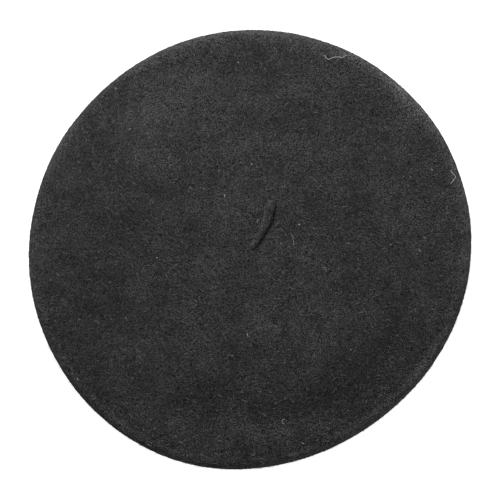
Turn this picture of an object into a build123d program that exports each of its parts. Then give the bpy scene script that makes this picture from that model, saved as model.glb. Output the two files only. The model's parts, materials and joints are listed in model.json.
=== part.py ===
"""A felted wool beret with a leather-bound head opening, lying on its band.

+Z is up and the origin is on the axis of the crown, at the height of the surface that the band
rests on. +Y is the back of the head, where the two ends of the band meet.
Sizes are millimetres.
"""

import os
from math import asin, atan2, cos, hypot, pi, radians, sin, sqrt

from build123d import *

# ---- crown ----
CROWN_DIAMETER = 280.0
CROWN_HEIGHT = 43.0  # apex of the crown above the resting surface
RIM_HEIGHT = 21.0  # middle of the rolled rim above the resting surface
RIM_ROLL = 8.0  # outside radius of the rolled rim
FELT = 2.6  # wall of the fulled knit

# ---- head opening ----
HEAD_GIRTH = 571.0  # inside the leather band
LEATHER = 1.1
BAND_HEIGHT = 28.0  # leather inside the opening
LIP_HEIGHT = 6.0  # leather turned up outside the felt edge
LIP_CORNER = 1.0  # rounding of the folded leather edge
FOLD_SLACK = 0.3  # between the felt's edge and the fold of the leather
NECK_BEND = 3.5  # radius where the felt turns out of the neck
NECK_RISE = 6.5  # height of the centre of that bend
BAND_GAP = 0.6  # butt joint of the band's two ends, at the back
TAPE_WIDTH = 12.0  # tape behind the butt joint
TAPE_THICKNESS = 0.4

# ---- lining ----
LINING = 0.5
LINING_GAP = 2.2  # clear space between the felt and the lining
SEAM_INSET = 28.0  # seam of the lining, in from the edge of the crown
LINING_HEM = 0.5  # between the lining's hem and the leather

# ---- labels ----
LABEL_WIDTH = 56.0
LABEL_DEPTH = 36.0
LABEL = 0.4
LABEL_CORNER = 4.0
LABEL_SHIFT = 8.0  # towards the back
TAB_WIDTH = 14.0
TAB_LENGTH = 13.0
TAB = 0.8
TAB_FOLD = 0.35  # rounding of the folded end of the tab

# ---- stalk ----
STALK = 5.0  # diameter
STALK_LENGTH = 30.5  # pivot to tip, measured straight
STALK_HEADING = 67.0  # plan angle of that straight line, from +X towards +Y
STALK_TURN = 34.0  # how much the stalk curves over its length
STALK_ROLL = 35.0  # how far the plane of that curve stands up from the crown
STALK_PLACE = (2.6, 2.6)
ROOT_SHAFT = 4.2  # diameter of the part that passes through the crown
ROOT_KNOT = 10.0  # diameter of the knotted inner end
ROOT_KNOT_THICKNESS = 1.5

# ---- thread ----
THREAD = 0.5
STITCH = 3.2
STITCH_PITCH = 5.6
LABEL_STITCH = 2.0
LABEL_PITCH = 4.0
STITCH_SEAT = 0.01  # a thread lies on its cloth with this clearance
STITCH_CHANNEL = 0.3  # depth of the channel in the leather that the inner stitches lie in

RUNNING = 0.3  # clearance between parts that move on each other

# ---- worked out ----
band_radius = HEAD_GIRTH / (2 * pi)
neck_inner = band_radius + LEATHER
neck_outer = neck_inner + FELT
lip_outer = neck_outer + LEATHER
felt_edge = LEATHER + FOLD_SLACK
stitch_height = LIP_HEIGHT - 3 * THREAD
joint_first = LIP_HEIGHT
joint_last = BAND_HEIGHT - 2 * THREAD
roll_centre = (CROWN_DIAMETER / 2 - RIM_ROLL, RIM_HEIGHT)
neck_centre = (neck_outer + NECK_BEND, NECK_RISE)
lining_depth = FELT + LINING_GAP
label_depth = lining_depth + LINING
seam_radius = CROWN_DIAMETER / 2 - SEAM_INSET

# The dome is a sphere that the rolled rim touches from inside.
dome_rise = CROWN_HEIGHT - RIM_HEIGHT
dome_radius = (roll_centre[0] ** 2 + dome_rise**2 - RIM_ROLL**2) / (2 * (dome_rise - RIM_ROLL))
dome_centre = CROWN_HEIGHT - dome_radius

# The flat underside touches the neck bend from above and the rolled rim from below.
under_run = (roll_centre[0] - neck_centre[0], roll_centre[1] - neck_centre[1])
under_slope = atan2(under_run[1], under_run[0]) - asin((RIM_ROLL + NECK_BEND) / hypot(*under_run))
under_normal = (-sin(under_slope), cos(under_slope))

pivot = Vector(*STALK_PLACE, CROWN_HEIGHT + STALK / 2 + RUNNING)


def dome_height(radius, depth):
    """Height of the dome at a distance from the axis, at a depth below its outer face."""
    return dome_centre + sqrt((dome_radius - depth) ** 2 - radius**2)


tab_hinge = (
    0,
    LABEL_SHIFT - LABEL_DEPTH / 2 - 2 * TAB - RUNNING,
    dome_height(LABEL_DEPTH, label_depth) - RUNNING - TAB / 2,
)


def on_circle(centre, radius, direction):
    """The point of a circle in a direction given as (r, z)."""
    length = hypot(*direction)
    return (centre[0] + radius * direction[0] / length, centre[1] + radius * direction[1] / length)


def at(point):
    """A section point (r, z) as a point of the XZ plane."""
    return Vector(point[0], 0, point[1])


def wall_points(depth):
    """The named points of the body's section at a depth below its outer face."""
    roll = RIM_ROLL - depth
    bend = NECK_BEND + depth
    shoulder = (roll_centre[0], roll_centre[1] - dome_centre)
    down = (-under_normal[0], -under_normal[1])
    return {
        "apex": (0, CROWN_HEIGHT - depth),
        "shoulder": on_circle(roll_centre, roll, shoulder),
        "edge": (roll_centre[0] + roll, roll_centre[1]),
        "under_out": on_circle(roll_centre, roll, down),
        "under_in": on_circle(neck_centre, bend, under_normal),
        "neck_top": (neck_centre[0] - bend, neck_centre[1]),
        "neck_foot": (neck_outer - depth, felt_edge),
    }


def dome_arc(depth, start, end):
    """The part of the dome's section between two distances from the axis."""
    points = [at((r, dome_height(r, depth))) for r in (start, (start + end) / 2, end)]
    return ThreePointArc(*points)


def rim_lines(depth):
    """The section round the rim and back along the underside, at a depth."""
    p = wall_points(depth)
    return [
        ThreePointArc(at(p["shoulder"]), at(p["edge"]), at(p["under_out"])),
        Line(at(p["under_out"]), at(p["under_in"])),
    ]


def turned(edges):
    """The solid of revolution of a closed section in the XZ plane."""
    return revolve(make_face(Wire(edges)), Axis.Z)


def felt_body():
    """The crown, rolled rim, underside and neck: one knitted and fulled piece."""
    edges = []
    for depth in (0, FELT):
        p = wall_points(depth)
        half = radians(180) - (radians(90) - under_slope) / 2
        turn = on_circle(neck_centre, NECK_BEND + depth, (cos(half), sin(half)))
        edges += [dome_arc(depth, 0, p["shoulder"][0]), *rim_lines(depth)]
        edges += [
            ThreePointArc(at(p["under_in"]), at(turn), at(p["neck_top"])),
            Line(at(p["neck_top"]), at(p["neck_foot"])),
        ]
    outer, inner = wall_points(0), wall_points(FELT)
    edges.append(Line(at(outer["apex"]), at(inner["apex"])))
    edges.append(Line(at(outer["neck_foot"]), at(inner["neck_foot"])))
    body = turned(edges)
    hole = Pos(*STALK_PLACE, CROWN_HEIGHT) * Cylinder(ROOT_SHAFT / 2 + RUNNING, 4 * FELT)
    return body - hole


def sweatband():
    """The leather strip inside the opening, folded round the felt's edge and up outside it.

    Channels for the inner stitches are pressed into it: one all round and one along the joint.
    """
    corners = [
        (band_radius, 0),
        (lip_outer, 0),
        (lip_outer, LIP_HEIGHT),
        (neck_outer, LIP_HEIGHT),
        (neck_outer, LEATHER),
        (neck_inner, LEATHER),
        (neck_inner, BAND_HEIGHT),
        (band_radius, BAND_HEIGHT),
    ]
    section = make_face(Polyline(*[at(c) for c in corners], close=True))
    folds = [v for v in section.vertices() if v.Z < LEATHER / 2]
    band = revolve(fillet(folds, LIP_CORNER), Axis.Z)
    joint = Pos(0, (band_radius + lip_outer) / 2) * Box(BAND_GAP, 4 * FELT, 3 * BAND_HEIGHT)
    round_channel = Pos(0, 0, stitch_height) * Cylinder(band_radius + STITCH_CHANNEL, 2 * THREAD)
    height = joint_last - joint_first + 2 * THREAD
    joint_channel = Box(STITCH + THREAD, 2 * STITCH_CHANNEL, height)
    return band - joint - round_channel - Pos(0, band_radius, (joint_first + joint_last) / 2) * joint_channel


def joint_tape():
    """A strip of cotton tape behind the butt joint of the band, above the felt's neck bend."""
    low, high = BAND_HEIGHT / 2, BAND_HEIGHT
    ring = Cylinder(neck_inner + TAPE_THICKNESS, high - low) - Cylinder(neck_inner, high - low)
    slab = Pos(0, neck_inner, 0) * Box(TAPE_WIDTH, 4 * FELT, high - low)
    return Pos(0, 0, (low + high) / 2) * (ring & slab)


def lining_crown():
    """The round top of the lining, cut flat and sewn in a shallow dome."""
    top, low = lining_depth, lining_depth + LINING
    edges = [
        dome_arc(top, 0, seam_radius),
        dome_arc(low, 0, seam_radius),
        Line(at((0, CROWN_HEIGHT - top)), at((0, CROWN_HEIGHT - low))),
        Line(at((seam_radius, dome_height(seam_radius, top))), at((seam_radius, dome_height(seam_radius, low)))),
    ]
    return turned(edges)


def lining_side():
    """The side of the lining: from the seam round inside the rim to its hem behind the leather."""
    hem_radius = neck_inner + LINING_HEM
    edges, hems, seams = [], [], []
    for depth in (lining_depth, lining_depth + LINING):
        p = wall_points(depth)
        bend = NECK_BEND + depth
        last = asin((neck_centre[0] - hem_radius) / (NECK_BEND + lining_depth))
        middle = (under_slope + last) / 2
        hem = on_circle(neck_centre, bend, (-sin(last), cos(last)))
        turn = on_circle(neck_centre, bend, (-sin(middle), cos(middle)))
        edges += [dome_arc(depth, seam_radius, p["shoulder"][0]), *rim_lines(depth)]
        edges.append(ThreePointArc(at(p["under_in"]), at(turn), at(hem)))
        hems.append(at(hem))
        seams.append(at((seam_radius, dome_height(seam_radius, depth))))
    return turned([*edges, Line(*hems), Line(*seams)])


def dome_shell(depth, thickness, reach):
    """A shallow cap of even thickness at a depth under the dome, out to a radius."""
    edges = [dome_arc(depth, 0, reach), dome_arc(depth + thickness, 0, reach)]
    edges.append(Line(at((0, CROWN_HEIGHT - depth)), at((0, CROWN_HEIGHT - depth - thickness))))
    heights = [dome_height(reach, depth), dome_height(reach, depth + thickness)]
    edges.append(Line(*[at((reach, z)) for z in heights]))
    return turned(edges)


def maker_label():
    """A blank woven label sewn on the lining."""
    outline = Pos(0, LABEL_SHIFT) * RectangleRounded(LABEL_WIDTH, LABEL_DEPTH, LABEL_CORNER)
    prism = extrude(outline, CROWN_HEIGHT)
    return dome_shell(label_depth, LABEL, LABEL_WIDTH) & prism


def size_tab():
    """A folded tab that is sewn to the lining by its back edge, next to the label."""
    length = Plane(origin=tab_hinge, x_dir=(1, 0, 0), z_dir=(0, 0, 1))
    slab = Pos(0, -RUNNING - TAB_LENGTH / 2, 0) * Box(TAB_WIDTH, TAB_LENGTH, TAB)
    fold = slab.edges().filter_by(Axis.X).group_by(Axis.Y)[0]
    return length * fillet(fold, TAB_FOLD)


def size_tab_root():
    """The sewn-down edge of the tab, flat on the lining."""
    root = Pos(tab_hinge[0], tab_hinge[1] + TAB, 0) * Rectangle(TAB_WIDTH, 2 * TAB)
    prism = extrude(root, CROWN_HEIGHT)
    return dome_shell(label_depth, TAB / 2, LABEL_WIDTH) & prism


def laid_thread(place, heading, length):
    """One visible stitch: a thread lying along a plan heading at a place."""
    along = Vector(cos(heading), sin(heading))
    return Plane(origin=Vector(*place), z_dir=along) * Cylinder(THREAD / 2, length)


def dome_stitch(x, y, heading, length, depth):
    """A stitch lying under the lining or the label at a depth below the dome."""
    z = dome_height(hypot(x, y) + length / 2, depth) - THREAD / 2 - STITCH_SEAT
    return laid_thread((x, y, z), heading, length)


def lining_seam_stitches():
    """The row of stitches that joins the lining's top to its side."""
    row = seam_radius - THREAD
    count = round(2 * pi * row / STITCH_PITCH)
    turns = [2 * pi * k / count for k in range(count)]
    return [dome_stitch(row * cos(t), row * sin(t), t + pi / 2, STITCH, label_depth) for t in turns]


def label_stitches():
    """The stitches along the four edges of the label."""
    inset = 2 * THREAD
    wide, deep = LABEL_WIDTH / 2 - inset, LABEL_DEPTH / 2 - inset
    run_x, run_y = wide - LABEL_CORNER, deep - LABEL_CORNER
    count_x = round(2 * run_x / LABEL_PITCH) + 1
    count_y = round(2 * run_y / LABEL_PITCH) + 1
    places = []
    for side in (-1, 1):
        places += [(-run_x + 2 * run_x * k / (count_x - 1), side * deep, 0) for k in range(count_x)]
        places += [(side * wide, -run_y + 2 * run_y * k / (count_y - 1), pi / 2) for k in range(count_y)]
    depth = label_depth + LABEL
    return [dome_stitch(x, y + LABEL_SHIFT, a, LABEL_STITCH, depth) for x, y, a in places]


def band_stitches(inside):
    """The stitches through lip, felt and leather, on the inside or the outside of the band."""
    seat = THREAD / 2 + STITCH_SEAT
    channel = band_radius + STITCH_CHANNEL
    row = sqrt((channel - seat) ** 2 - (STITCH / 2) ** 2) if inside else lip_outer + seat
    count = round(2 * pi * row / STITCH_PITCH)
    turns = [2 * pi * (k + 0.5) / count + pi / 2 for k in range(count)]
    places = [(row * cos(t), row * sin(t), stitch_height) for t in turns]
    return [laid_thread(place, t + pi / 2, STITCH) for place, t in zip(places, turns)]


def band_joint_stitches():
    """The cross stitches that hold the two ends of the band together."""
    count = round((joint_last - joint_first) / STITCH)
    row = band_radius + STITCH_CHANNEL - THREAD / 2 - STITCH_SEAT
    heights = [joint_first + (joint_last - joint_first) * k / count for k in range(count + 1)]
    return [laid_thread((0, row, z), 0, STITCH) for z in heights]


def stalk_root():
    """The held part of the stalk: a knot inside, a shaft through the crown and a round top."""
    knot_top = CROWN_HEIGHT - FELT - RUNNING
    foot = knot_top - ROOT_KNOT_THICKNESS
    up = (Align.CENTER, Align.CENTER, Align.MIN)
    knot = Cylinder(ROOT_KNOT / 2, ROOT_KNOT_THICKNESS, align=up)
    rim = knot.edges().filter_by(GeomType.CIRCLE)
    knot = fillet(rim, ROOT_KNOT_THICKNESS / 3)
    shaft = Cylinder(ROOT_SHAFT / 2, pivot.Z - foot, align=up)
    top = Pos(0, 0, pivot.Z - foot) * Sphere(ROOT_SHAFT / 2)
    return Pos(*STALK_PLACE, foot) * (knot + shaft + top)


def stalk_plane():
    """The plane of the stalk's curve, through the pivot, with x along its straight length."""
    a, tilt = radians(STALK_HEADING), radians(STALK_ROLL)
    along = Vector(cos(a), sin(a), 0)
    side = Vector(sin(a), -cos(a), 0)
    bulge = side * cos(tilt) + Vector(0, 0, 1) * sin(tilt)
    return Plane(origin=pivot, x_dir=along, z_dir=along.cross(bulge))


def stalk():
    """The free part of the stalk: a curved felt tail with a round tip, cut clear of its root."""
    plane = stalk_plane()
    reach = STALK_LENGTH - STALK / 2
    half = radians(STALK_TURN / 2)
    sag = reach / 2 * (1 - cos(half)) / sin(half)
    arc = plane * ThreePointArc((0, 0), (reach / 2, sag), (reach, 0))
    section = Plane(origin=arc @ 0, z_dir=arc % 0) * Circle(STALK / 2)
    body = sweep(section, path=Wire([arc])) + Pos(*(arc @ 1)) * Sphere(STALK / 2)
    relief = Box(2 * STALK, 2 * STALK, 2 * (ROOT_SHAFT / 2 + RUNNING))
    return body - Plane(origin=arc @ 0, z_dir=arc % 0) * relief


def node_shapes():
    """Every node's shape by name. A list is a group of separate solids."""
    return {
        "felt_body": felt_body(),
        "stalk_root": stalk_root(),
        "stalk": stalk(),
        "sweatband": sweatband(),
        "band_joint_tape": joint_tape(),
        "band_joint_stitches": band_joint_stitches(),
        "band_stitches_inner": band_stitches(inside=True),
        "band_stitches_outer": band_stitches(inside=False),
        "lining_crown": lining_crown(),
        "lining_side": lining_side(),
        "lining_seam_stitches": lining_seam_stitches(),
        "maker_label": maker_label(),
        "label_stitches": label_stitches(),
        "size_tab_root": size_tab_root(),
        "size_tab": size_tab(),
    }


def main():
    """Writes one STEP file per node."""
    os.makedirs("parts", exist_ok=True)
    for name, shape in node_shapes().items():
        solid = Compound(children=shape) if isinstance(shape, list) else shape
        export_step(solid, f"parts/{name}.step")


main()
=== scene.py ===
"""The looks of a felted wool beret: its felt, stalk, leather band, lining, labels and thread.

Every piece is a surface worked out with numpy, in metres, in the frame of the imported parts: +Z out of the
crown, +Y to the back of the head, and the origin on the axis of the crown where the band rests.
"""

from __future__ import annotations

import json
import logging
from dataclasses import dataclass, replace
from enum import Enum
from functools import cache
from math import atan2, asin, cos, hypot, pi, radians, sin, sqrt

import bpy
import numpy as np
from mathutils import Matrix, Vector


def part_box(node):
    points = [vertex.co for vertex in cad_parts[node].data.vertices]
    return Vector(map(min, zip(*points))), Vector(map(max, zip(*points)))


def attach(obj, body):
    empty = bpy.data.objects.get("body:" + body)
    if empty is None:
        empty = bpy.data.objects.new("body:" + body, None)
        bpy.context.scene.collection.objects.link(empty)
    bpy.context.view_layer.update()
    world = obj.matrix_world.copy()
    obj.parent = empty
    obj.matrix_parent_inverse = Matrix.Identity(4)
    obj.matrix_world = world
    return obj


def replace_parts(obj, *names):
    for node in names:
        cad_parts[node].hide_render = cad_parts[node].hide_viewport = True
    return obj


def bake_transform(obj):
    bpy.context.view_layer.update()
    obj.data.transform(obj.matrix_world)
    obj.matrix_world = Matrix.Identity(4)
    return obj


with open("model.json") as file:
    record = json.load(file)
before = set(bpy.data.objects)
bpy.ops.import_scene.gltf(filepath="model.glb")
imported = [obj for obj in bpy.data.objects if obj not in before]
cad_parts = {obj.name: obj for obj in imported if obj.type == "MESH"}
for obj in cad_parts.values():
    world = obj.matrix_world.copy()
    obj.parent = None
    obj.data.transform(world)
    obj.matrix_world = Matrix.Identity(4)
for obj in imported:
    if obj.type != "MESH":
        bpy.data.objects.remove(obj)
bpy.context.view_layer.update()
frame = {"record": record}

MM = 0.001
Array = np.ndarray
Socket, Node, NodeTree = bpy.types.NodeSocket, bpy.types.Node, bpy.types.NodeTree
Material, Mesh, Object = bpy.types.Material, bpy.types.Mesh, bpy.types.Object
log = logging.getLogger("beret")


# ---- numbers ----


def smooth_step(value: Array, low: float, high: float) -> Array:
    """Rises from 0 at low to 1 at high along the cubic 3t^2 - 2t^3.

    Args:
        value: Where to read it.
        low: Below this it is 0.
        high: Above this it is 1.

    Returns:
        An array of the same shape as value.
    """
    t = np.clip((value - low) / (high - low), 0.0, 1.0)
    return t * t * (3.0 - 2.0 * t)


def bell(value: Array, centre: float, width: float) -> Array:
    """The curve exp(-x^2) of (value - centre) / width."""
    return np.exp(-(((value - centre) / width) ** 2))


def unit(vectors: Array) -> Array:
    """The vectors of the last axis scaled to length 1."""
    return vectors / np.maximum(np.linalg.norm(vectors, axis=-1, keepdims=True), 1e-12)


def polar(radius: Array, angle: Array, height: Array) -> Array:
    """Points from distances to the axis, plan angles and heights."""
    radius, angle, height = np.broadcast_arrays(radius, angle, height)
    return np.stack([radius * np.cos(angle), radius * np.sin(angle), height], axis=-1)


def full_turn(count: int) -> Array:
    """Even plan angles round a circle, from 0."""
    return np.arange(count) * 2 * pi / count


class SoftNoise:
    """A smooth random field: a sum of plane waves with seeded directions and phases."""

    def __init__(self, seed: int, shortest: float, longest: float, waves: int = 40) -> None:
        """Draws the waves.

        Args:
            seed: Seed of the draw.
            shortest: Shortest wavelength, in metres.
            longest: Longest wavelength, in metres.
            waves: How many waves are added up.
        """
        rng = np.random.default_rng(seed)
        lengths = np.geomspace(shortest, longest, waves)
        self.waves = unit(rng.normal(size=(waves, 3))) * (2 * pi / lengths)[:, None]
        self.phases = rng.uniform(0, 2 * pi, waves)
        self.weights = lengths / sqrt(float((lengths**2).sum()) / 2)

    def at(self, points: Array) -> Array:
        """The field at points, with a deviation of about 1."""
        return np.cos(points @ self.waves.T + self.phases) @ self.weights


# ---- meshes ----


def grid_cells(rows: int, columns: int, close_rows: bool, close_columns: bool) -> Array:
    """The corners of each cell of a grid of points that is numbered row by row.

    Args:
        rows: Number of rows of points.
        columns: Number of points in a row.
        close_rows: The last row joins the first.
        close_columns: The last column joins the first.

    Returns:
        One line of four point numbers for each cell.
    """
    i = np.arange(rows if close_rows else rows - 1)
    j = np.arange(columns if close_columns else columns - 1)
    i, j = (a.ravel() for a in np.meshgrid(i, j, indexing="ij"))
    here, below = i * columns, (i + 1) % rows * columns
    beside = (j + 1) % columns
    return np.stack([here + j, below + j, below + beside, here + beside], -1)


def pole_fans(rows: int, columns: int) -> Array:
    """Triangles that close both ends of a tube of rows with two more points, one for each end.

    Args:
        rows: Number of rows of points.
        columns: Number of points in a row.

    Returns:
        One line of three point numbers for each triangle.
    """
    j = np.arange(columns)
    beside = (j + 1) % columns
    last = (rows - 1) * columns
    first_pole = np.full(columns, rows * columns)
    near = np.stack([j, beside, first_pole], -1)
    far = np.stack([last + beside, last + j, first_pole + 1], -1)
    return np.concatenate([near, far])


def tube_faces(rows: int, columns: int) -> list[Array]:
    """The cells of a tube of rows, and the fans that close its two ends."""
    return [grid_cells(rows, columns, False, True), pole_fans(rows, columns)]


def make_mesh(name: str, points: Array, faces: list[Array], uv: Array | None = None) -> Mesh:
    """Puts a closed surface into a mesh, with its faces pointing outwards.

    The enclosed volume is the sum of the signed tetrahedra from the origin to the faces. Where it is
    negative, every face is turned round.

    Args:
        name: Name of the mesh.
        points: The places of the points.
        faces: Arrays of faces, one array for each number of corners.
        uv: The map's place of each point, in metres on the cloth, or None.

    Returns:
        The mesh.
    """
    points = points.reshape(-1, 3)
    volume = 0.0
    for group in faces:
        for k in range(1, group.shape[1] - 1):
            a, b, c = (points[group[:, n]] for n in (0, k, k + 1))
            volume += float(np.einsum("ij,ij->", a, np.cross(b, c)))
    if volume < 0:
        faces = [group[:, ::-1] for group in faces]
    corners = np.concatenate([group.ravel() for group in faces])
    sizes = np.concatenate([np.full(len(group), group.shape[1]) for group in faces])
    mesh = bpy.data.meshes.new(name)
    mesh.vertices.add(len(points))
    mesh.vertices.foreach_set("co", points.astype(np.float32).ravel())
    mesh.loops.add(len(corners))
    mesh.loops.foreach_set("vertex_index", corners.astype(np.int32))
    mesh.polygons.add(len(sizes))
    mesh.polygons.foreach_set("loop_start", (np.cumsum(sizes) - sizes).astype(np.int32))
    mesh.polygons.foreach_set("use_smooth", np.ones(len(sizes), dtype=bool))
    mesh.update(calc_edges=True)
    if uv is not None:
        layer = mesh.uv_layers.new(name="Cloth")
        layer.uv.foreach_set("vector", uv.reshape(-1, 2)[corners].astype(np.float32).ravel())
    mesh.validate()
    return mesh


def paint(mesh: Mesh, name: str, values: Array) -> None:
    """Stores one number for each point of a mesh as a named attribute."""
    layer = mesh.attributes.new(name, "FLOAT", "POINT")
    layer.data.foreach_set("value", values.astype(np.float32).ravel())


def carry_section(path: Array, across: Array, upward: Array, section: Array) -> Array:
    """Carries a closed flat section along a path.

    Each point is path + across * x + upward * y, for the section's x and y at that station.

    Args:
        path: Stations, (n, 3).
        across: Direction of the section's x at each station, (n, 3).
        upward: Direction of the section's y at each station, (n, 3).
        section: The section's points, (m, 2) or (n, m, 2).

    Returns:
        Points, (n, m, 3).
    """
    section = np.broadcast_to(section, (len(path), *section.shape[-2:]))
    return path[:, None] + across[:, None] * section[..., :1] + upward[:, None] * section[..., 1:]


def rounded_strip(width: float, thickness: float, along: int, corner: int = 3) -> Array:
    """The section of a flat strip with half-round edges, as a closed loop of (x, y) points.

    Args:
        width: Width of the strip.
        thickness: Thickness of the strip.
        along: Number of points on each flat side.
        corner: Number of points on each half-round edge.

    Returns:
        Points, (2 * along + 2 * corner, 2).
    """
    flat = width / 2 - thickness / 2
    x = np.linspace(-flat, flat, along)
    turn = np.linspace(0, pi, corner + 2)[1:-1]
    right = np.stack([flat + thickness / 2 * np.sin(turn), thickness / 2 * np.cos(turn)], -1)
    top = np.stack([x, np.full(along, thickness / 2)], -1)
    return np.concatenate([top, right, -top, -right])


# ---- shader helpers ----


class Recipe:
    """Adds nodes to a tree and links them by name."""

    def __init__(self, tree: NodeTree) -> None:
        """Keeps the tree that the nodes go to."""
        self.tree = tree

    def add(self, kind: str, settings: dict | None = None, **inputs: object) -> Node:
        """Adds one node.

        Args:
            kind: The node's type.
            settings: Properties of the node.
            **inputs: Values or sockets for its inputs, by name, with _ for a space.

        Returns:
            The node.
        """
        node = self.tree.nodes.new(kind)
        for name, value in (settings or {}).items():
            setattr(node, name, value)
        self.fill(node, **inputs)
        return node

    def fill(self, node: Node, **inputs: object) -> None:
        """Links or sets a node's inputs, by name, with _ for a space."""
        for name, value in inputs.items():
            self.feed(node.inputs[name.replace("_", " ")], value)

    def feed(self, socket: Socket, value: object) -> None:
        """Links a socket to an input, or sets the input's value.

        Args:
            socket: The input.
            value: The socket or the value that it gets.
        """
        if isinstance(value, Socket):
            self.tree.links.new(value, socket)
        else:
            socket.default_value = value

    def sum(self, operation: str, *values: object, clamp: bool = False) -> Socket:
        """Adds a Math node.

        Args:
            operation: What it does.
            *values: Its inputs in order.
            clamp: Whether the result is held from 0 to 1.

        Returns:
            Its output.
        """
        node = self.add("ShaderNodeMath", {"operation": operation, "use_clamp": clamp})
        for socket, value in zip(node.inputs, values):
            self.feed(socket, value)
        return node.outputs[0]

    def ramp(
        self, value: Socket, low: float, high: float, to_low: float = 0.0, to_high: float = 1.0
    ) -> Socket:
        """Maps low to to_low and high to to_high, smoothly and held at both ends.

        Args:
            value: The number that is mapped.
            low: Its lower end.
            high: Its upper end.
            to_low: The result at and below the lower end.
            to_high: The result at and above the upper end.

        Returns:
            The mapped number.
        """
        node = self.add("ShaderNodeMapRange", {"interpolation_type": "SMOOTHSTEP"}, Value=value)
        for name, number in (("From Min", low), ("From Max", high), ("To Min", to_low), ("To Max", to_high)):
            node.inputs[name].default_value = number
        return node.outputs["Result"]

    def blend(self, share: object, first: object, second: object, kind: str = "MIX") -> Socket:
        """Mixes two colours by a share, or combines them by a blend type.

        Args:
            share: How much of the second colour.
            first: The first colour.
            second: The second colour.
            kind: The blend type.

        Returns:
            The colour.
        """
        node = self.add("ShaderNodeMix", {"data_type": "RGBA", "blend_type": kind})
        self.feed(node.inputs[0], share)
        for socket, value in ((node.inputs[6], first), (node.inputs[7], second)):
            self.feed(socket, (*value, 1.0) if isinstance(value, tuple) else value)
        return node.outputs[2]

    def noise(
        self, place: Socket, size: float, detail: float = 2.0, roughness: float = 0.55, warp: float = 0.0
    ) -> Socket:
        """A noise from 0 to 1.

        Args:
            place: Where it is read.
            size: Size of its features, in metres.
            detail: How many finer noises are added.
            roughness: How strong the finer ones are.
            warp: How far the place is pushed about.

        Returns:
            The noise.
        """
        settings = {"noise_dimensions": "3D"}
        node = self.add("ShaderNodeTexNoise", settings, Vector=place, Detail=detail, Roughness=roughness)
        node.inputs["Scale"].default_value = 1.0 / size
        node.inputs["Distortion"].default_value = warp
        return node.outputs["Fac"]

    def group(self, tree: NodeTree, **inputs: object) -> Node:
        """Adds a node group with these inputs."""
        return self.add("ShaderNodeGroup", {"node_tree": tree}, **inputs)


def new_group(
    name: str, inputs: dict[str, tuple[str, object]], outputs: list[str]
) -> tuple[Recipe, dict, dict]:
    """Starts a shader node group with named sockets.

    Args:
        name: Name of the group.
        inputs: Socket kind and start value of each input, by name.
        outputs: Names of the number outputs.

    Returns:
        The recipe of its tree, its input sockets by name and its output sockets by name.
    """
    tree = bpy.data.node_groups.new(name, "ShaderNodeTree")
    for key, (kind, value) in inputs.items():
        socket = tree.interface.new_socket(name=key, in_out="INPUT", socket_type=kind)
        if value is not None:
            socket.default_value = value
    for key in outputs:
        tree.interface.new_socket(name=key, in_out="OUTPUT", socket_type="NodeSocketFloat")
    recipe = Recipe(tree)
    source = recipe.add("NodeGroupInput")
    sink = recipe.add("NodeGroupOutput")
    return recipe, {k: source.outputs[k] for k in inputs}, {k: sink.inputs[k] for k in outputs}


@cache
def wool_group() -> NodeTree:
    """Fulled wool: a mottled fleck and short curling fibres that lie in every direction.

    The fibres are the crests of three noises, each stretched along its own direction after the place has been
    pushed about by a coarser noise, so that they curl.

    Returns:
        The group, which puts out the fleck, the fibres and their height, each from 0 to about 1.
    """
    push_length = 1.6 * MM
    crest_from, crest_to = 0.60, 0.74
    fleck_from, fleck_to = 0.40, 0.64
    fibre_height, fleck_height = 0.6, 0.5
    headings = (0.3, 1.4, 2.45)
    numbers = {
        "Place": ("NodeSocketVector", None),
        "Fleck Size": ("NodeSocketFloat", 0.6 * MM),
        "Fibre Length": ("NodeSocketFloat", 2.2 * MM),
        "Fibre Width": ("NodeSocketFloat", 0.30 * MM),
    }
    r, given, out = new_group("wool", numbers, ["Fleck", "Fibres", "Height"])
    fleck = r.add("ShaderNodeTexNoise", Vector=given["Place"], Detail=0.0)
    r.feed(fleck.inputs["Scale"], r.sum("DIVIDE", 1.0, given["Fleck Size"]))
    curl = r.add("ShaderNodeTexNoise", Vector=given["Place"], Detail=1.0)
    r.feed(curl.inputs["Scale"], r.sum("DIVIDE", 1.0, given["Fibre Length"]))
    push = r.add("ShaderNodeVectorMath", {"operation": "SUBTRACT"})
    r.feed(push.inputs[0], curl.outputs["Color"])
    push.inputs[1].default_value = (0.5, 0.5, 0.5)
    pushed = r.add("ShaderNodeVectorMath", {"operation": "MULTIPLY_ADD"})
    r.feed(pushed.inputs[0], push.outputs[0])
    pushed.inputs[1].default_value = (push_length,) * 3
    r.feed(pushed.inputs[2], given["Place"])
    stretch = r.add("ShaderNodeCombineXYZ")
    r.feed(stretch.inputs[0], r.sum("DIVIDE", 1.0, given["Fibre Length"]))
    for socket in stretch.inputs[1:3]:
        r.feed(socket, r.sum("DIVIDE", 1.0, given["Fibre Width"]))
    crests: Socket | None = None
    for k, angle in enumerate(headings):
        turned = r.add("ShaderNodeVectorRotate", {"rotation_type": "EULER_XYZ"}, Vector=pushed.outputs[0])
        turned.inputs["Rotation"].default_value = (0.35 * k, -0.3 * k, angle)
        scaled = r.add("ShaderNodeVectorMath", {"operation": "MULTIPLY"})
        r.feed(scaled.inputs[0], turned.outputs[0])
        r.feed(scaled.inputs[1], stretch.outputs[0])
        line = r.add("ShaderNodeTexNoise", Vector=scaled.outputs[0], Scale=1.0, Detail=0.0)
        crest = r.ramp(line.outputs["Fac"], crest_from, crest_to)
        crests = crest if crests is None else r.sum("MAXIMUM", crests, crest)
    mottle = r.ramp(fleck.outputs["Fac"], fleck_from, fleck_to)
    r.feed(out["Fleck"], mottle)
    r.feed(out["Fibres"], crests)
    low = r.sum("MULTIPLY", mottle, fleck_height)
    r.feed(out["Height"], r.sum("MULTIPLY_ADD", crests, fibre_height, low))
    return r.tree


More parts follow.
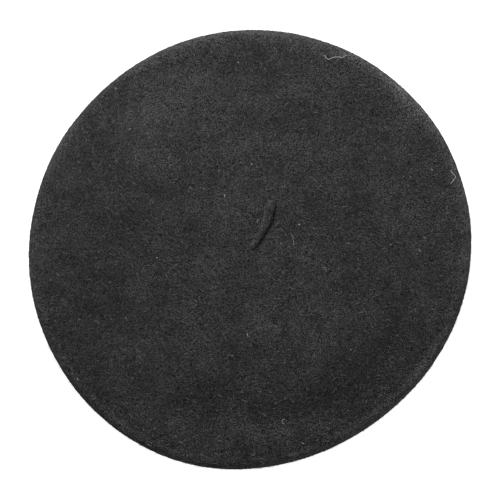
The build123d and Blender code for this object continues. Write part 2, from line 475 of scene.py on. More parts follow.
@cache
def weave_group() -> NodeTree:
    """Woven cloth on its own map: threads that rise over and pass under each other.

    The height is the product of a wave across the warp and a wave along it. Slant shifts each thread's rise
    past its neighbour's, as on twill and satin, and an uneven noise thickens some threads.

    Returns:
        The group, which puts out the height and each thread's own number, both from 0 to 1.
    """
    lane_height, rise_height = 0.4, 0.6
    numbers = {
        "Place": ("NodeSocketVector", None),
        "Warp Pitch": ("NodeSocketFloat", 0.3 * MM),
        "Weft Pitch": ("NodeSocketFloat", 0.3 * MM),
        "Slant": ("NodeSocketFloat", 0.0),
    }
    r, given, out = new_group("weave", numbers, ["Height", "Threads"])
    parts = r.add("ShaderNodeSeparateXYZ", Vector=given["Place"])
    x = r.sum("DIVIDE", parts.outputs[0], given["Warp Pitch"])
    y = r.sum("MULTIPLY_ADD", given["Slant"], x, r.sum("DIVIDE", parts.outputs[1], given["Weft Pitch"]))
    across = r.sum("SINE", r.sum("MULTIPLY", x, pi))
    along = r.sum("SINE", r.sum("MULTIPLY", y, pi))
    rise = r.sum("MULTIPLY_ADD", r.sum("MULTIPLY", across, along), 0.5, 0.5)
    lanes = r.sum("ABSOLUTE", across)
    lane = r.add("ShaderNodeTexNoise", {"noise_dimensions": "1D"}, W=x, Scale=1.0, Detail=0.0)
    r.feed(out["Height"], r.sum("MULTIPLY_ADD", lanes, lane_height, r.sum("MULTIPLY", rise, rise_height)))
    r.feed(out["Threads"], lane.outputs[0])
    return r.tree


def start_material(name: str) -> tuple[Material, Recipe, Node, Socket, Socket]:
    """A new node material.

    Args:
        name: Name of the material.

    Returns:
        The material, its recipe, its Principled node, the Object coordinates and the piece's own map.
    """
    material = bpy.data.materials.new(name)
    material.use_nodes = True
    recipe = Recipe(material.node_tree)
    shader = material.node_tree.nodes["Principled BSDF"]
    places = recipe.add("ShaderNodeTexCoord")
    own = recipe.add("ShaderNodeUVMap", {"uv_map": "Cloth"})
    return material, recipe, shader, places.outputs["Object"], own.outputs["UV"]


Colour = tuple[float, float, float]


@dataclass(frozen=True)
class FeltFinish:
    """Fulled wool with its nap raised by brushing: dark ground, paler flecks and fibres, and a soft sheen of
    nap.
    """

    name: str
    dark: Colour = (0.0038, 0.0038, 0.0038)
    pale: Colour = (0.0432, 0.0432, 0.0435)
    fibre: Colour = (0.080, 0.080, 0.081)
    fleck_size: float = 0.80 * MM
    fibre_share: float = 0.75
    patch_size: float = 15 * MM
    patch_share: float = 0.16
    cloud_size: float = 45 * MM
    cloud_share: float = 0.12
    bump: float = 0.70 * MM
    roughness: float = 0.92
    specular: float = 0.06
    sheen: float = 0.05
    sheen_roughness: float = 0.6

    def material(self) -> Material:
        """The finish as a material on Object coordinates and on an attribute of nap tone, painted light and
        painted shade.

        Returns:
            The material.
        """
        made, r, shader, place, _ = start_material(self.name)
        wool = r.group(wool_group(), Place=place, Fleck_Size=self.fleck_size)
        ground = r.blend(wool.outputs["Fleck"], self.dark, self.pale)
        fibres = r.sum("MULTIPLY", wool.outputs["Fibres"], self.fibre_share)
        colour = r.blend(fibres, ground, self.fibre)
        patches = r.noise(place, self.patch_size, 1.0)
        clouds = r.noise(place, self.cloud_size, 1.0)
        # The attribute read here lightens or darkens the colour: partly the nap's own tone, partly painted
        # light and painted shade.
        nap_tone_and_painted_light = r.add("ShaderNodeAttribute", {"attribute_name": "nap_tone_and_painted_light"})
        shade = r.ramp(patches, 0.3, 0.7, 1 - self.patch_share, 1 + self.patch_share)
        cloudy = r.ramp(clouds, 0.3, 0.7, 1 - self.cloud_share, 1 + self.cloud_share)
        shade = r.sum("MULTIPLY", shade, cloudy)
        shade = r.sum("MULTIPLY", shade, r.sum("ADD", nap_tone_and_painted_light.outputs["Fac"], 1.0))
        tint = r.add("ShaderNodeCombineXYZ", X=shade, Y=shade, Z=shade)
        r.feed(shader.inputs["Base Color"], r.blend(1.0, colour, tint.outputs[0], "MULTIPLY"))
        bump = r.add("ShaderNodeBump", Height=wool.outputs["Height"], Strength=0.8, Distance=self.bump)
        r.feed(shader.inputs["Normal"], bump.outputs[0])
        r.fill(shader, Roughness=self.roughness, Specular_IOR_Level=self.specular)
        r.fill(shader, Sheen_Weight=self.sheen, Sheen_Roughness=self.sheen_roughness)
        return made


@dataclass(frozen=True)
class StrandFinish:
    """The tone of loose wool fibres or lint, each far too thin to show a pattern of its own."""

    name: str
    tone: Colour
    roughness: float = 0.75
    specular: float = 0.25

    def material(self) -> Material:
        """The finish as a material of one tone.

        Returns:
            The material.
        """
        made, r, shader, _, _ = start_material(self.name)
        r.fill(shader, Base_Color=(*self.tone, 1.0), Roughness=self.roughness)
        r.fill(shader, Specular_IOR_Level=self.specular)
        return made


@dataclass(frozen=True)
class LeatherFinish:
    """Thin sheepskin: fine creased grain, pores, a low polish, and a paler cut edge."""

    name: str
    colour: Colour = (0.020, 0.0165, 0.0140)
    worn: Colour = (0.060, 0.050, 0.042)
    cut: Colour = (0.115, 0.085, 0.060)
    grain: float = 0.75 * MM
    pores: float = 0.22 * MM
    crease_size: float = 5 * MM
    rubbed_size: float = 14 * MM
    bump: float = 0.12 * MM
    specular: float = 0.45

    def material(self) -> Material:
        """The finish as a material on Object coordinates and the cut_edge attribute.

        Returns:
            The material.
        """
        made, r, shader, place, _ = start_material(self.name)
        settings = {"feature": "DISTANCE_TO_EDGE"}
        cells = r.add("ShaderNodeTexVoronoi", settings, Vector=place, Scale=1 / self.grain)
        islands = r.ramp(cells.outputs["Distance"], 0.0, 0.22)
        fine = r.noise(place, self.pores, 2.0)
        creases = r.ramp(r.noise(place, self.crease_size, 3.0, 0.6, 1.5), 0.46, 0.54, 0.0, 1.0)
        rubbed = r.ramp(r.noise(place, self.rubbed_size, 3.0, 0.65), 0.5, 0.75, 0.0, 0.5)
        skin = r.blend(rubbed, self.colour, self.worn)
        skin = r.blend(r.sum("MULTIPLY", islands, 0.35), r.blend(0.5, skin, (0.0, 0.0, 0.0)), skin)
        edge = r.add("ShaderNodeAttribute", {"attribute_name": "cut_edge"})
        bare = r.ramp(edge.outputs["Fac"], 0.35, 0.8)
        r.feed(shader.inputs["Base Color"], r.blend(r.sum("MULTIPLY", bare, 0.8), skin, self.cut))
        r.feed(shader.inputs["Roughness"], r.ramp(fine, 0.3, 0.7, 0.42, 0.62))
        height = r.sum("MULTIPLY_ADD", islands, 0.6, r.sum("MULTIPLY", fine, 0.25))
        height = r.sum("MULTIPLY_ADD", creases, 0.35, height)
        bump = r.add("ShaderNodeBump", Height=height, Strength=0.55, Distance=self.bump)
        r.feed(shader.inputs["Normal"], bump.outputs[0])
        r.fill(shader, Specular_IOR_Level=self.specular)
        return made


@dataclass(frozen=True)
class ClothFinish:
    """Woven cloth on the piece's own map: satin, damask or tape, by its pitches and slant."""

    name: str
    warp: Colour
    weft: Colour
    warp_pitch: float
    weft_pitch: float
    slant: float
    roughness: float
    sheen: float
    bump: float
    border: Colour | None = None
    border_line: tuple[float, float, float, float] = (0.0, 0.0, 0.0, 0.0)
    soil_size: float = 11 * MM
    specular: float = 0.4

    def frame_line(self, r: Recipe, own: Socket) -> Socket:
        """A mask that is 1 along a rectangular line: half width, half height, inset and line width.

        The distance to the rectangle's nearest side is the smaller of half width - |x| and half height - |y|.

        Args:
            r: The material's recipe.
            own: The piece's own map.

        Returns:
            The mask.
        """
        wide, high, inset, line = self.border_line
        parts = r.add("ShaderNodeSeparateXYZ", Vector=own)
        to_side = r.sum("SUBTRACT", wide, r.sum("ABSOLUTE", parts.outputs[0]))
        to_end = r.sum("SUBTRACT", high, r.sum("ABSOLUTE", parts.outputs[1]))
        off = r.sum("ABSOLUTE", r.sum("SUBTRACT", r.sum("MINIMUM", to_side, to_end), inset))
        return r.ramp(off, line * 0.4, line * 0.6, 1.0, 0.0)

    def material(self) -> Material:
        """The finish as a material on the Cloth map, with a woven line round it where it has one.

        Returns:
            The material.
        """
        made, r, shader, place, own = start_material(self.name)
        weave = r.group(weave_group(), Place=own, Slant=self.slant)
        r.fill(weave, Warp_Pitch=self.warp_pitch, Weft_Pitch=self.weft_pitch)
        colour = r.blend(weave.outputs["Height"], self.weft, self.warp)
        if self.border is not None:
            colour = r.blend(self.frame_line(r, own), colour, self.border)
        uneven = r.ramp(weave.outputs["Threads"], 0.25, 0.75, 0.86, 1.12)
        soil = r.sum("MULTIPLY", uneven, r.ramp(r.noise(place, self.soil_size, 3.0), 0.3, 0.7, 0.93, 1.05))
        tint = r.add("ShaderNodeCombineXYZ", X=soil, Y=soil, Z=soil)
        r.feed(shader.inputs["Base Color"], r.blend(1.0, colour, tint.outputs[0], "MULTIPLY"))
        rough = r.ramp(weave.outputs["Height"], 0.0, 1.0, self.roughness + 0.15, self.roughness)
        r.feed(shader.inputs["Roughness"], rough)
        bump = r.add("ShaderNodeBump", Height=weave.outputs["Height"], Strength=0.6, Distance=self.bump)
        r.feed(shader.inputs["Normal"], bump.outputs[0])
        r.fill(shader, Sheen_Weight=self.sheen, Specular_IOR_Level=self.specular)
        return made


@dataclass(frozen=True)
class ThreadFinish:
    """Spun thread with a slight uneven lustre."""

    name: str
    colour: Colour
    fuzz_size: float = 0.15 * MM
    sheen: float = 0.2

    def material(self) -> Material:
        """The finish as a material on Object coordinates.

        Returns:
            The material.
        """
        made, r, shader, place, _ = start_material(self.name)
        fuzz = r.noise(place, self.fuzz_size, 2.0)
        dark = tuple(c * 0.6 for c in self.colour)
        bright = tuple(c * 1.5 for c in self.colour)
        r.feed(shader.inputs["Base Color"], r.blend(fuzz, dark, bright))
        r.feed(shader.inputs["Roughness"], r.ramp(fuzz, 0.3, 0.7, 0.5, 0.75))
        r.fill(shader, Sheen_Weight=self.sheen)
        return made


# ---- pieces in the scene ----


class Slot(Enum):
    """The material slots of the record."""

    FELT = "wool_felt"
    LEATHER = "band_leather"
    SATIN = "lining_satin"
    LABEL = "label_weave"
    TAPE = "cotton_tape"
    THREAD = "thread"


class Body(Enum):
    """The moving bodies of the frame."""

    BERET = "beret"
    ROOT = "stalk_root"
    STALK = "stalk"
    TAB = "size_tab"


def lay(mesh: Mesh, slot: Slot, body: Body | None, *finishes: Material) -> Object:
    """Puts a finished mesh into the scene as a piece.

    Args:
        mesh: The mesh, whose name becomes the piece's.
        slot: Its material slot; not used.
        body: The body it rides on, or None for a piece left on no body.
        *finishes: Its materials in order.

    Returns:
        The piece's object.
    """
    for material in finishes:
        mesh.materials.append(material)
    piece = bpy.data.objects.new(mesh.name, mesh)
    bpy.context.scene.collection.objects.link(piece)
    if body is not None:
        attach(piece, body.value)
    log.info("%s: %d points, %d faces", mesh.name, len(mesh.vertices), len(mesh.polygons))
    return piece


def joint_named(name: str) -> dict:
    """The record's entry for a joint."""
    return next(j for j in frame["record"]["behaviour"]["joints"] if j["name"] == name)


def mount_named(name: str) -> dict:
    """The record's entry for a mount."""
    return next(m for m in frame["record"]["mounts"] if m["name"] == name)


# ---- threads and fibres ----


def fibre_mesh(name: str, stations: Array, normals: Array, width: Array, tones: Array) -> Mesh:
    """Many separate fibres, each a closed spindle with two three-cornered rings between its two pointed ends.

    Args:
        name: Name of the mesh.
        stations: Four points along each fibre, (n, 4, 3).
        normals: The surface's normal under each fibre, (n, 3).
        width: Radius of each fibre, (n,).
        tones: Material number of each fibre, (n,).

    Returns:
        The mesh.
    """
    count = len(stations)
    along = unit(stations[:, 2] - stations[:, 1])
    side = unit(np.cross(along, normals))
    up = np.cross(side, along)
    turn = np.arange(3) * 2 * pi / 3 + pi / 2
    spoke = side[:, None] * np.cos(turn)[:, None] + up[:, None] * np.sin(turn)[:, None]
    rings = stations[:, 1:3, None] + spoke[:, None] * width[:, None, None, None]
    points = np.concatenate([stations[:, :1], rings.reshape(count, 6, 3), stations[:, 3:]], axis=1)
    k = np.arange(3)
    n = (k + 1) % 3
    tip = np.stack([0 * k, 1 + n, 1 + k], -1)
    side_a = np.stack([1 + k, 1 + n, 4 + n], -1)
    side_b = np.stack([1 + k, 4 + n, 4 + k], -1)
    end = np.stack([0 * k + 7, 4 + k, 4 + n], -1)
    one = np.concatenate([tip, side_a, side_b, end])
    faces = (one[None] + 8 * np.arange(count)[:, None, None]).reshape(-1, 3)
    mesh = make_mesh(name, points, [faces])
    mesh.polygons.foreach_set("material_index", np.repeat(tones, len(one)).astype(np.int32))
    return mesh


@dataclass(frozen=True)
class Nap:
    """Loose wool fibres that curl over a felted surface."""

    length: float = 2.8 * MM
    radius: float = 0.060 * MM
    lift: float = 0.14 * MM
    stray: float = 0.55 * MM
    curl: float = 0.30
    shares: tuple[float, ...] = (0.11, 0.22, 0.37, 0.30)

    def mesh(self, name: str, seed: int, places: Array, normals: Array) -> Mesh:
        """Lays one fibre at each place.

        A fibre runs along a random tangent through its place. It bows sideways with the square of the
        distance from its middle, rises off the surface by a lift that is small for most and large for a few,
        and its two ends dip back into the felt.

        Args:
            name: Name of the mesh.
            seed: Seed of the draw.
            places: Places on the surface, (n, 3).
            normals: Normals there, (n, 3).

        Returns:
            The mesh, with materials 0 to 3, from pale to dark, shared out among the fibres.
        """
        rng = np.random.default_rng(seed)
        count = len(places)
        along = unit(np.cross(normals, rng.normal(size=(count, 3))))
        side = np.cross(normals, along)
        length = self.length * rng.lognormal(0.0, 0.35, count)
        bow = rng.normal(size=count) * self.curl
        rise = self.lift + self.stray * rng.random(count) ** 6
        steps = np.array([-0.5, -0.18, 0.18, 0.5])
        run = length[:, None] * steps
        sway = length[:, None] * bow[:, None] * (4 * steps**2 - 0.3)
        height = np.where(np.abs(steps) > 0.4, -0.5 * self.lift, rise[:, None])
        stations = places[:, None] + along[:, None] * run[..., None]
        stations = stations + side[:, None] * sway[..., None] + normals[:, None] * height[..., None]
        width = self.radius * rng.uniform(0.6, 1.3, count)
        return fibre_mesh(name, stations, normals, width, rng.choice(4, count, p=self.shares))


@dataclass(frozen=True)
class Sewing:
    """Stitches of two-ply thread: each rises out of the cloth, runs along it and dips in again."""

    radius: float = 0.25 * MM
    sink: float = 0.16 * MM
    stations: int = 7
    sides: int = 6
    twist: float = 1.5
    ply: float = 0.16

    def mesh(self, name: str, starts: Array, ends: Array, outward: Array) -> Mesh:
        """One stitch from each start to each end.

        The centre line is start + (end - start) a, raised along outward by the sine of pi a and sunk at its
        ends. The radius follows the two plies, 1 + ply cos 2(angle - twist turns), and closes at both ends.

        Args:
            name: Name of the mesh.
            starts: First ends, (n, 3).
            ends: Last ends, (n, 3).
            outward: Directions off the cloth, (n, 3).

        Returns:
            The mesh.
        """
        count = len(starts)
        a = np.linspace(0, 1, self.stations + 2)
        arch = self.sink * (np.sin(pi * a) ** 0.6 - 1.0)
        line = starts[:, None] + (ends - starts)[:, None] * a[:, None] + outward[:, None] * arch[:, None]
        along = unit(ends - starts)
        side = np.cross(along, outward)
        turn = full_turn(self.sides)
        inner = a[1:-1]
        plies = 1 + self.ply * np.cos(2 * (turn[None] - 2 * pi * self.twist * inner[:, None]))
        taper = (1 - np.abs(2 * inner - 1) ** 6) ** 0.5
        radius = self.radius * plies * taper[:, None]
        spoke = side[:, None, None] * np.cos(turn)[:, None] + outward[:, None, None] * np.sin(turn)[:, None]
        rings = line[:, 1:-1, None] + spoke * radius[None, ..., None]
        rings = rings.reshape(count, -1, 3)
        points = np.concatenate([rings, line[:, :1], line[:, -1:]], axis=1)
        step = points.shape[1] * np.arange(count)[:, None, None]
        parts = tube_faces(self.stations, self.sides)
        faces = [(part[None] + step).reshape(-1, part.shape[1]) for part in parts]
        return make_mesh(name, points, faces)


def tube_mesh(name: str, paths: list[Array], radii: list[float], sides: int = 6) -> Mesh:
    """Closed round tubes that follow paths of points, with pointed ends.

    The section's directions at a station are the cross products of its tangent with +Z and with each other.

    Args:
        name: Name of the mesh.
        paths: The tubes' centre lines, each (n, 3).
        radii: Radius of each tube.
        sides: Corners of the section.

    Returns:
        The mesh.
    """
    turn = full_turn(sides)
    ring = np.stack([np.cos(turn), np.sin(turn)], -1)
    points, parts, start = [], [], 0
    for path, radius in zip(paths, radii):
        along = unit(np.gradient(path, axis=0))
        side = unit(np.cross(along, np.array([0.0, 0.0, 1.0])))
        tube = carry_section(path, side, np.cross(side, along), ring * radius)
        tips = np.stack([path[0] - along[0] * radius, path[-1] + along[-1] * radius])
        points += [tube.reshape(-1, 3), tips]
        parts.append([part + start for part in tube_faces(len(path), sides)])
        start += len(path) * sides + 2
    return make_mesh(name, np.concatenate(points), [np.concatenate(kind) for kind in zip(*parts)])


# ---- the felt wall ----


@dataclass
class Wall:
    """The section of the felt wall, and the gentle warp that everything in the crown shares.

    The section is a dome, a rolled rim, a flat underside, a bend and a neck. The warp moves the rim in and
    out by a few low harmonics of the plan angle, so that the crown isn't a true circle, and up and down by
    others.
    """

    crown_radius: float = 0.0
    crown_height: float = 0.0
    neck_outer: float = 0.0
    foot: float = 0.0
    roll: float = 8.0 * MM
    rim_height: float = 21.0 * MM
    bend: float = 3.5 * MM
    bend_height: float = 6.5 * MM
    felt: float = 2.6 * MM
    hollow: float = 2.2 * MM
    fine: int = 400
    outline: tuple[tuple[int, float, float], ...] = (
        (2, 2.44 * MM, radians(75.5)),
        (3, 0.65 * MM, radians(11.3)),
        (4, 0.35 * MM, radians(-36.0)),
        (5, 0.16 * MM, radians(178.6)),
    )
    waver: tuple[tuple[int, float, float], ...] = (
        (2, 0.7 * MM, 1.9),
        (3, 0.5 * MM, 0.4),
        (5, 0.35 * MM, 2.6),
        (8, 0.18 * MM, 5.0),
    )

    def __post_init__(self) -> None:
        """Takes the main sizes from the frame and works out the circles of the section."""
        low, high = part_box("felt_body")
        self.crown_radius, self.crown_height, self.foot = high.x, high.z, low.z
        band_radius = mount_named("head_opening")["dims"]["r_mm"] * MM
        leather = (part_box("sweatband")[1].x - band_radius - self.felt) / 2
        self.neck_outer = band_radius + leather + self.felt
        self.roll_centre = (self.crown_radius - self.roll, self.rim_height)
        self.bend_centre = (self.neck_outer + self.bend, self.bend_height)
        rise = self.crown_height - self.rim_height
        self.dome_radius = (self.roll_centre[0] ** 2 + rise**2 - self.roll**2) / (2 * (rise - self.roll))
        self.dome_centre = self.crown_height - self.dome_radius
        run = (self.roll_centre[0] - self.bend_centre[0], self.roll_centre[1] - self.bend_centre[1])
        self.slope = atan2(run[1], run[0]) - asin((self.roll + self.bend) / hypot(*run))
        self.shoulder = atan2(self.rim_height - self.dome_centre, self.roll_centre[0])

    def arc(
        self, centre: tuple[float, float], radius: float, start: float, end: float, facing: int
    ) -> list[Array]:
        """A round stretch of the section: centre + radius (cos t, sin t), for t from start to end.

        Args:
            centre: Its centre's r and z.
            radius: Its radius.
            start: First angle.
            end: Last angle.
            facing: 1 where its normal points away from the centre, and -1 where it points to it.

        Returns:
            r, z and the normal's r and z.
        """
        t = np.linspace(start, end, self.fine)
        along, up = np.cos(t), np.sin(t)
        return [centre[0] + radius * along, centre[1] + radius * up, facing * along, facing * up]

    def straight(self, start: Array, end: Array, normal: tuple[float, float]) -> list[Array]:
        """A straight stretch of the section: start + (end - start) times a share from 0 to 1.

        Args:
            start: Its first r and z.
            end: Its last r and z.
            normal: Its normal's r and z.

        Returns:
            r, z and the normal's r and z.
        """
        share = np.linspace(0, 1, self.fine)
        line = [start[k] + (end[k] - start[k]) * share for k in range(2)]
        return [*line, *(np.full(self.fine, part) for part in normal)]

    def arcs(self) -> dict[str, list[Array]]:
        """The stretches of the outer section from the crown's middle to the foot of the neck.

        Returns:
            For each stretch, by name, r, z and the outward normal's r and z, finely sampled.
        """
        down = -pi / 2 + self.slope
        dome = self.arc((0.0, self.dome_centre), self.dome_radius, pi / 2, self.shoulder, 1)
        rim = self.arc(self.roll_centre, self.roll, self.shoulder, down, 1)
        bend = self.arc(self.bend_centre, self.bend, pi / 2 + self.slope, pi, -1)
        ends = (rim[0][-1], rim[1][-1]), (bend[0][0], bend[1][0])
        under = self.straight(*ends, (cos(down), sin(down)))
        neck = self.straight((self.neck_outer, self.bend_height), (self.neck_outer, self.foot), (1.0, 0.0))
        return {"dome": dome, "rim": rim, "under": under, "bend": bend, "neck": neck}

    def section(self) -> tuple[Array, Array]:
        """The whole outer section by its length.

        Returns:
            The lengths from the crown's middle, (n,), and r, z, normal r and normal z there, (n, 4).
        """
        r, z, nr, nz = (np.concatenate([arc[k] for arc in self.arcs().values()]) for k in range(4))
        step = np.hypot(np.diff(r), np.diff(z))
        keep = np.concatenate([[True], step > 1e-9])
        table = np.stack([r, z, nr, nz], -1)[keep]
        length = np.concatenate([[0.0], np.cumsum(np.hypot(*np.diff(table[:, :2], axis=0).T))])
        return length, table

    def length_at(self, stretch: str) -> float:
        """The section's length at the end of a stretch.

        Args:
            stretch: Name of the stretch.

        Returns:
            The length from the crown's middle.
        """
        total = 0.0
        for name, (r, z, _, _) in self.arcs().items():
            total += float(np.hypot(np.diff(r), np.diff(z)).sum())
            if name == stretch:
                return total
        raise ValueError(stretch)

    def read(self, length: Array) -> tuple[Array, Array, Array, Array]:
        """r, z and the normal's r and z of the outer section at lengths along it."""
        known, table = self.section()
        return tuple(np.interp(length, known, table[:, k]) for k in range(4))

    def warp(self, radius: Array, angle: Array, height: Array) -> Array:
        """Points of the section's plane turned round the axis and warped.

        The rim moves out by the sum of size * cos(k angle - phase) of the outline and up by the same sum of
        the waver. Both fade to nothing towards the neck.

        Args:
            radius: Distances from the axis.
            angle: Plan angles.
            height: Heights.

        Returns:
            Points.
        """
        out = sum(size * np.cos(k * angle - phase) for k, size, phase in self.outline)
        up = sum(size * np.cos(k * angle - phase) for k, size, phase in self.waver)
        share = smooth_step(radius, self.neck_outer + self.bend, self.crown_radius - 2 * MM)
        return polar(radius + out * share, angle, height + up * share)

    def at_depth(self, length: Array, angle: Array, depth: Array) -> Array:
        """Warped points at a depth under the outer face, before any felt lies on them."""
        r, z, nr, nz = self.read(length)
        return self.warp(r - depth * nr, angle, z - depth * nz)


@dataclass(frozen=True)
class NapToneAndLightOval:
    """A soft oval on the crown that is paler, or darker where amount is negative, in mm: partly the nap's own
    tone and partly painted light and painted shade.
    """

    x: float
    y: float
    long: float
    short: float
    heading: float
    amount: float

    def at(self, points: Array) -> Array:
        """The amount times exp(-u^2 - v^2), for u and v along the oval's two axes in half lengths.

        Args:
            points: Points on the felt.

        Returns:
            The oval's share of how brushed each point is.
        """
        heading = radians(self.heading)
        x, y = points[..., 0] - self.x * MM, points[..., 1] - self.y * MM
        u = (x * cos(heading) + y * sin(heading)) / (self.long * MM)
        v = (y * cos(heading) - x * sin(heading)) / (self.short * MM)
        return self.amount * np.exp(-(u**2) - v**2)


@dataclass
class FeltBody:
    """The crown, rim, underside and neck: one felted shell with a hole for the stalk's root."""

    wall: Wall
    finish: FeltFinish
    hole: float = 2.35 * MM
    centring: float = 70.0 * MM
    middle: float = 1.2 * MM
    shelf: float = 3.1 * MM
    shelf_radius: float = 98.0 * MM
    shelf_fall: tuple[float, float] = (15 * MM, 14 * MM)
    shelf_rise: tuple[float, float] = (20 * MM, 86 * MM)
    trough: float = 0.6 * MM
    trough_place: tuple[float, float] = (113 * MM, 10 * MM)
    swells: float = 0.34 * MM
    dents: float = 0.09 * MM
    rim_calm: float = 0.75
    puckers: tuple[int, ...] = (19, 27, 34, 43)
    pucker: float = 0.5 * MM
    collar: float = 0.5 * MM
    creases: float = 0.10 * MM
    # Painted shade: the felt is darkened where it faces down, from the rim's edge over the underside.
    underside_painted_shade: float = -0.38
    # Painted light: how much paler the rim's roll is at eight plan angles, where the roll catches the light.
    rim_painted_light: tuple[float, ...] = (1.1, 0.95, 0.3, 0.1, 0.45, 0.95, 0.65, 1.4)
    rim_fade: float = 4 * MM
    # Ovals of nap tone mixed with painted light and painted shade; the strongest, on the rim at +X +Y, is a
    # painted highlight.
    nap_tone_and_painted_light: tuple[NapToneAndLightOval, ...] = (
        NapToneAndLightOval(101, 95, 24, 8, -43, 0.80),
        NapToneAndLightOval(-20, 137, 32, 10, 8, 0.26),
        NapToneAndLightOval(-8, 113, 55, 13, 0, -0.14),
        NapToneAndLightOval(-66, 86, 24, 15, 40, 0.30),
        NapToneAndLightOval(28, 84, 60, 16, -5, -0.25),
        NapToneAndLightOval(-97, -2, 46, 31, 90, -0.34),
        NapToneAndLightOval(-11, 30, 24, 15, 10, 0.34),
        NapToneAndLightOval(10, -36, 40, 28, 0, 0.16),
        NapToneAndLightOval(-84, -56, 15, 10, -50, 0.26),
        NapToneAndLightOval(-98, -84, 26, 10, -50, -0.18),
        NapToneAndLightOval(-3, -88, 17, 13, 0, 0.20),
        NapToneAndLightOval(1, -116, 22, 11, 0, 0.24),
        NapToneAndLightOval(60, -82, 27, 12, 35, -0.20),
        NapToneAndLightOval(90, -100, 28, 7, 45, 0.26),
        NapToneAndLightOval(115, -29, 16, 15, 0, 0.16),
    )
    columns: int = 400
    outer_rows: int = 176
    inner_rows: int = 60

    def __post_init__(self) -> None:
        """Finds the stalk's place and draws the felt's soft unevenness."""
        place = joint_named("stalk_swivel")["pos_m"]
        self.place = np.array([place[0], place[1], 0.0])
        self.length = float(self.wall.section()[0][-1])
        self.rolling = SoftNoise(11, 26 * MM, 90 * MM, 44)
        self.dimples = SoftNoise(12, 7 * MM, 22 * MM, 56)
        self.pull = SoftNoise(13, 60 * MM, 240 * MM, 20)

    def swell(self, radius: Array, normal: Array, base: Array) -> Array:
        """How far the felt stands off the plain section, along its normal.

        On top the crown rests on the leather band, so a shelf rises inside the band's circle and a shallow
        trough lies outside it, both uneven round the crown. Elsewhere the felt is slack, with long swells and
        small dimples, but less so at the rim's edge. Near the neck the sewing puckers it.

        Args:
            radius: Distances from the axis.
            normal: Upward part of the outward normal.
            base: The plain points.

        Returns:
            Distances along the normal.
        """
        top = smooth_step(normal, -0.1, 0.75)
        angle = np.arctan2(base[..., 1], base[..., 0])
        uneven = 1 + 0.16 * self.pull.at(base)
        edge = self.shelf_radius + 2.5 * MM * self.pull.at(base + 0.3)
        step = 1 - smooth_step(radius, edge - self.shelf_fall[0], edge + self.shelf_fall[1])
        raised = smooth_step(radius, *self.shelf_rise)
        shelf = (self.middle + (self.shelf - self.middle) * uneven * raised) * step
        trough = self.trough * bell(radius, *self.trough_place)
        free = smooth_step(radius, self.wall.neck_outer + 5 * MM, self.wall.neck_outer + 14 * MM)
        slack = np.where(normal > 0, 1.0, free) * (1 - self.rim_calm * bell(normal, 0.0, 0.5))
        loose = self.swells * self.rolling.at(base) + self.dents * self.dimples.at(base)
        pucker = sum(np.cos(k * angle + k) for k in self.puckers) / len(self.puckers)
        near = smooth_step(base[..., 2], 7 * MM, 11 * MM) * bell(radius, self.wall.neck_outer, 16 * MM)
        pucker = self.pucker * pucker * near * (1 - top)
        return top * (shelf - trough) + slack * loose + pucker

    def point(self, length: Array, angle: Array, depth: Array | float = 0.0) -> Array:
        """Points of the felt wall.

        The grid's centre slides from the stalk's place, at the hole, to the crown's axis. A low collar with
        creases round it rises at the stalk.

        Args:
            length: Lengths along the section.
            angle: Plan angles.
            depth: Depths under the outer face.

        Returns:
            Points.
        """
        length, angle, depth = np.broadcast_arrays(length, angle, depth)
        r, z, nr, nz = self.wall.read(length)
        base = self.wall.warp(r, angle, z)
        out = self.swell(r, nz, base) - depth
        shifted = self.wall.warp(r + out * nr, angle, z + out * nz)
        towards = 1 - smooth_step(length, 0.0, self.centring)
        round_stalk = self.collar * bell(length, self.hole, 2.0 * MM)
        creases = self.creases * np.cos(9 * angle) * bell(length, 5.5 * MM, 3.0 * MM)
        shifted = shifted + self.place * towards[..., None]
        shifted[..., 2] += round_stalk + creases
        return shifted

    def normal(self, length: Array, angle: Array) -> Array:
        """Outward normals, from the cross product of small steps along the section and round it.

        Args:
            length: Lengths along the section.
            angle: Plan angles.

        Returns:
            Unit normals.
        """
        step = 0.2 * MM
        along = self.point(length + step, angle) - self.point(length - step, angle)
        turn = step / np.maximum(self.wall.read(length)[0], MM)
        round_it = self.point(length, angle + turn) - self.point(length, angle - turn)
        return unit(np.cross(round_it, along)) * -1.0

    def scatter(self, seed: int, count: int, start: float, end: float) -> tuple[Array, Array]:
        """Random places spread evenly over a stretch of the felt.

        Args:
            seed: Seed of the draw.
            count: How many.
            start: Length along the section where the stretch starts.
            end: Length where it ends.

        Returns:
            Places and normals.
        """
        rng = np.random.default_rng(seed)
        lengths = np.linspace(start, end, 2000)
        share = np.cumsum(self.wall.read(lengths)[0])
        length = np.interp(rng.random(count) * share[-1], share, lengths)
        angle = rng.uniform(0, 2 * pi, count)
        return self.point(length, angle), self.normal(length, angle)

    def rows(self) -> tuple[Array, Array]:
        """The grid's rows: along the outer face, round the foot and back inside.

        Returns:
            Their lengths along the section and their depths under the outer face.
        """
        rim_start, rim_end = self.wall.length_at("dome"), self.wall.length_at("rim")
        fixed = np.array([self.hole, rim_start, rim_end, self.wall.length_at("under"), self.length])
        shares = np.array([0.0, 0.60, 0.78, 0.92, 1.0])
        t = np.linspace(0, 1, self.outer_rows)
        outer = np.interp(t, shares, fixed)
        inner = np.interp(np.linspace(1, 0, self.inner_rows), shares, fixed)
        depth = np.concatenate([np.zeros(self.outer_rows), np.full(self.inner_rows, self.wall.felt)])
        return np.concatenate([outer, inner]), depth

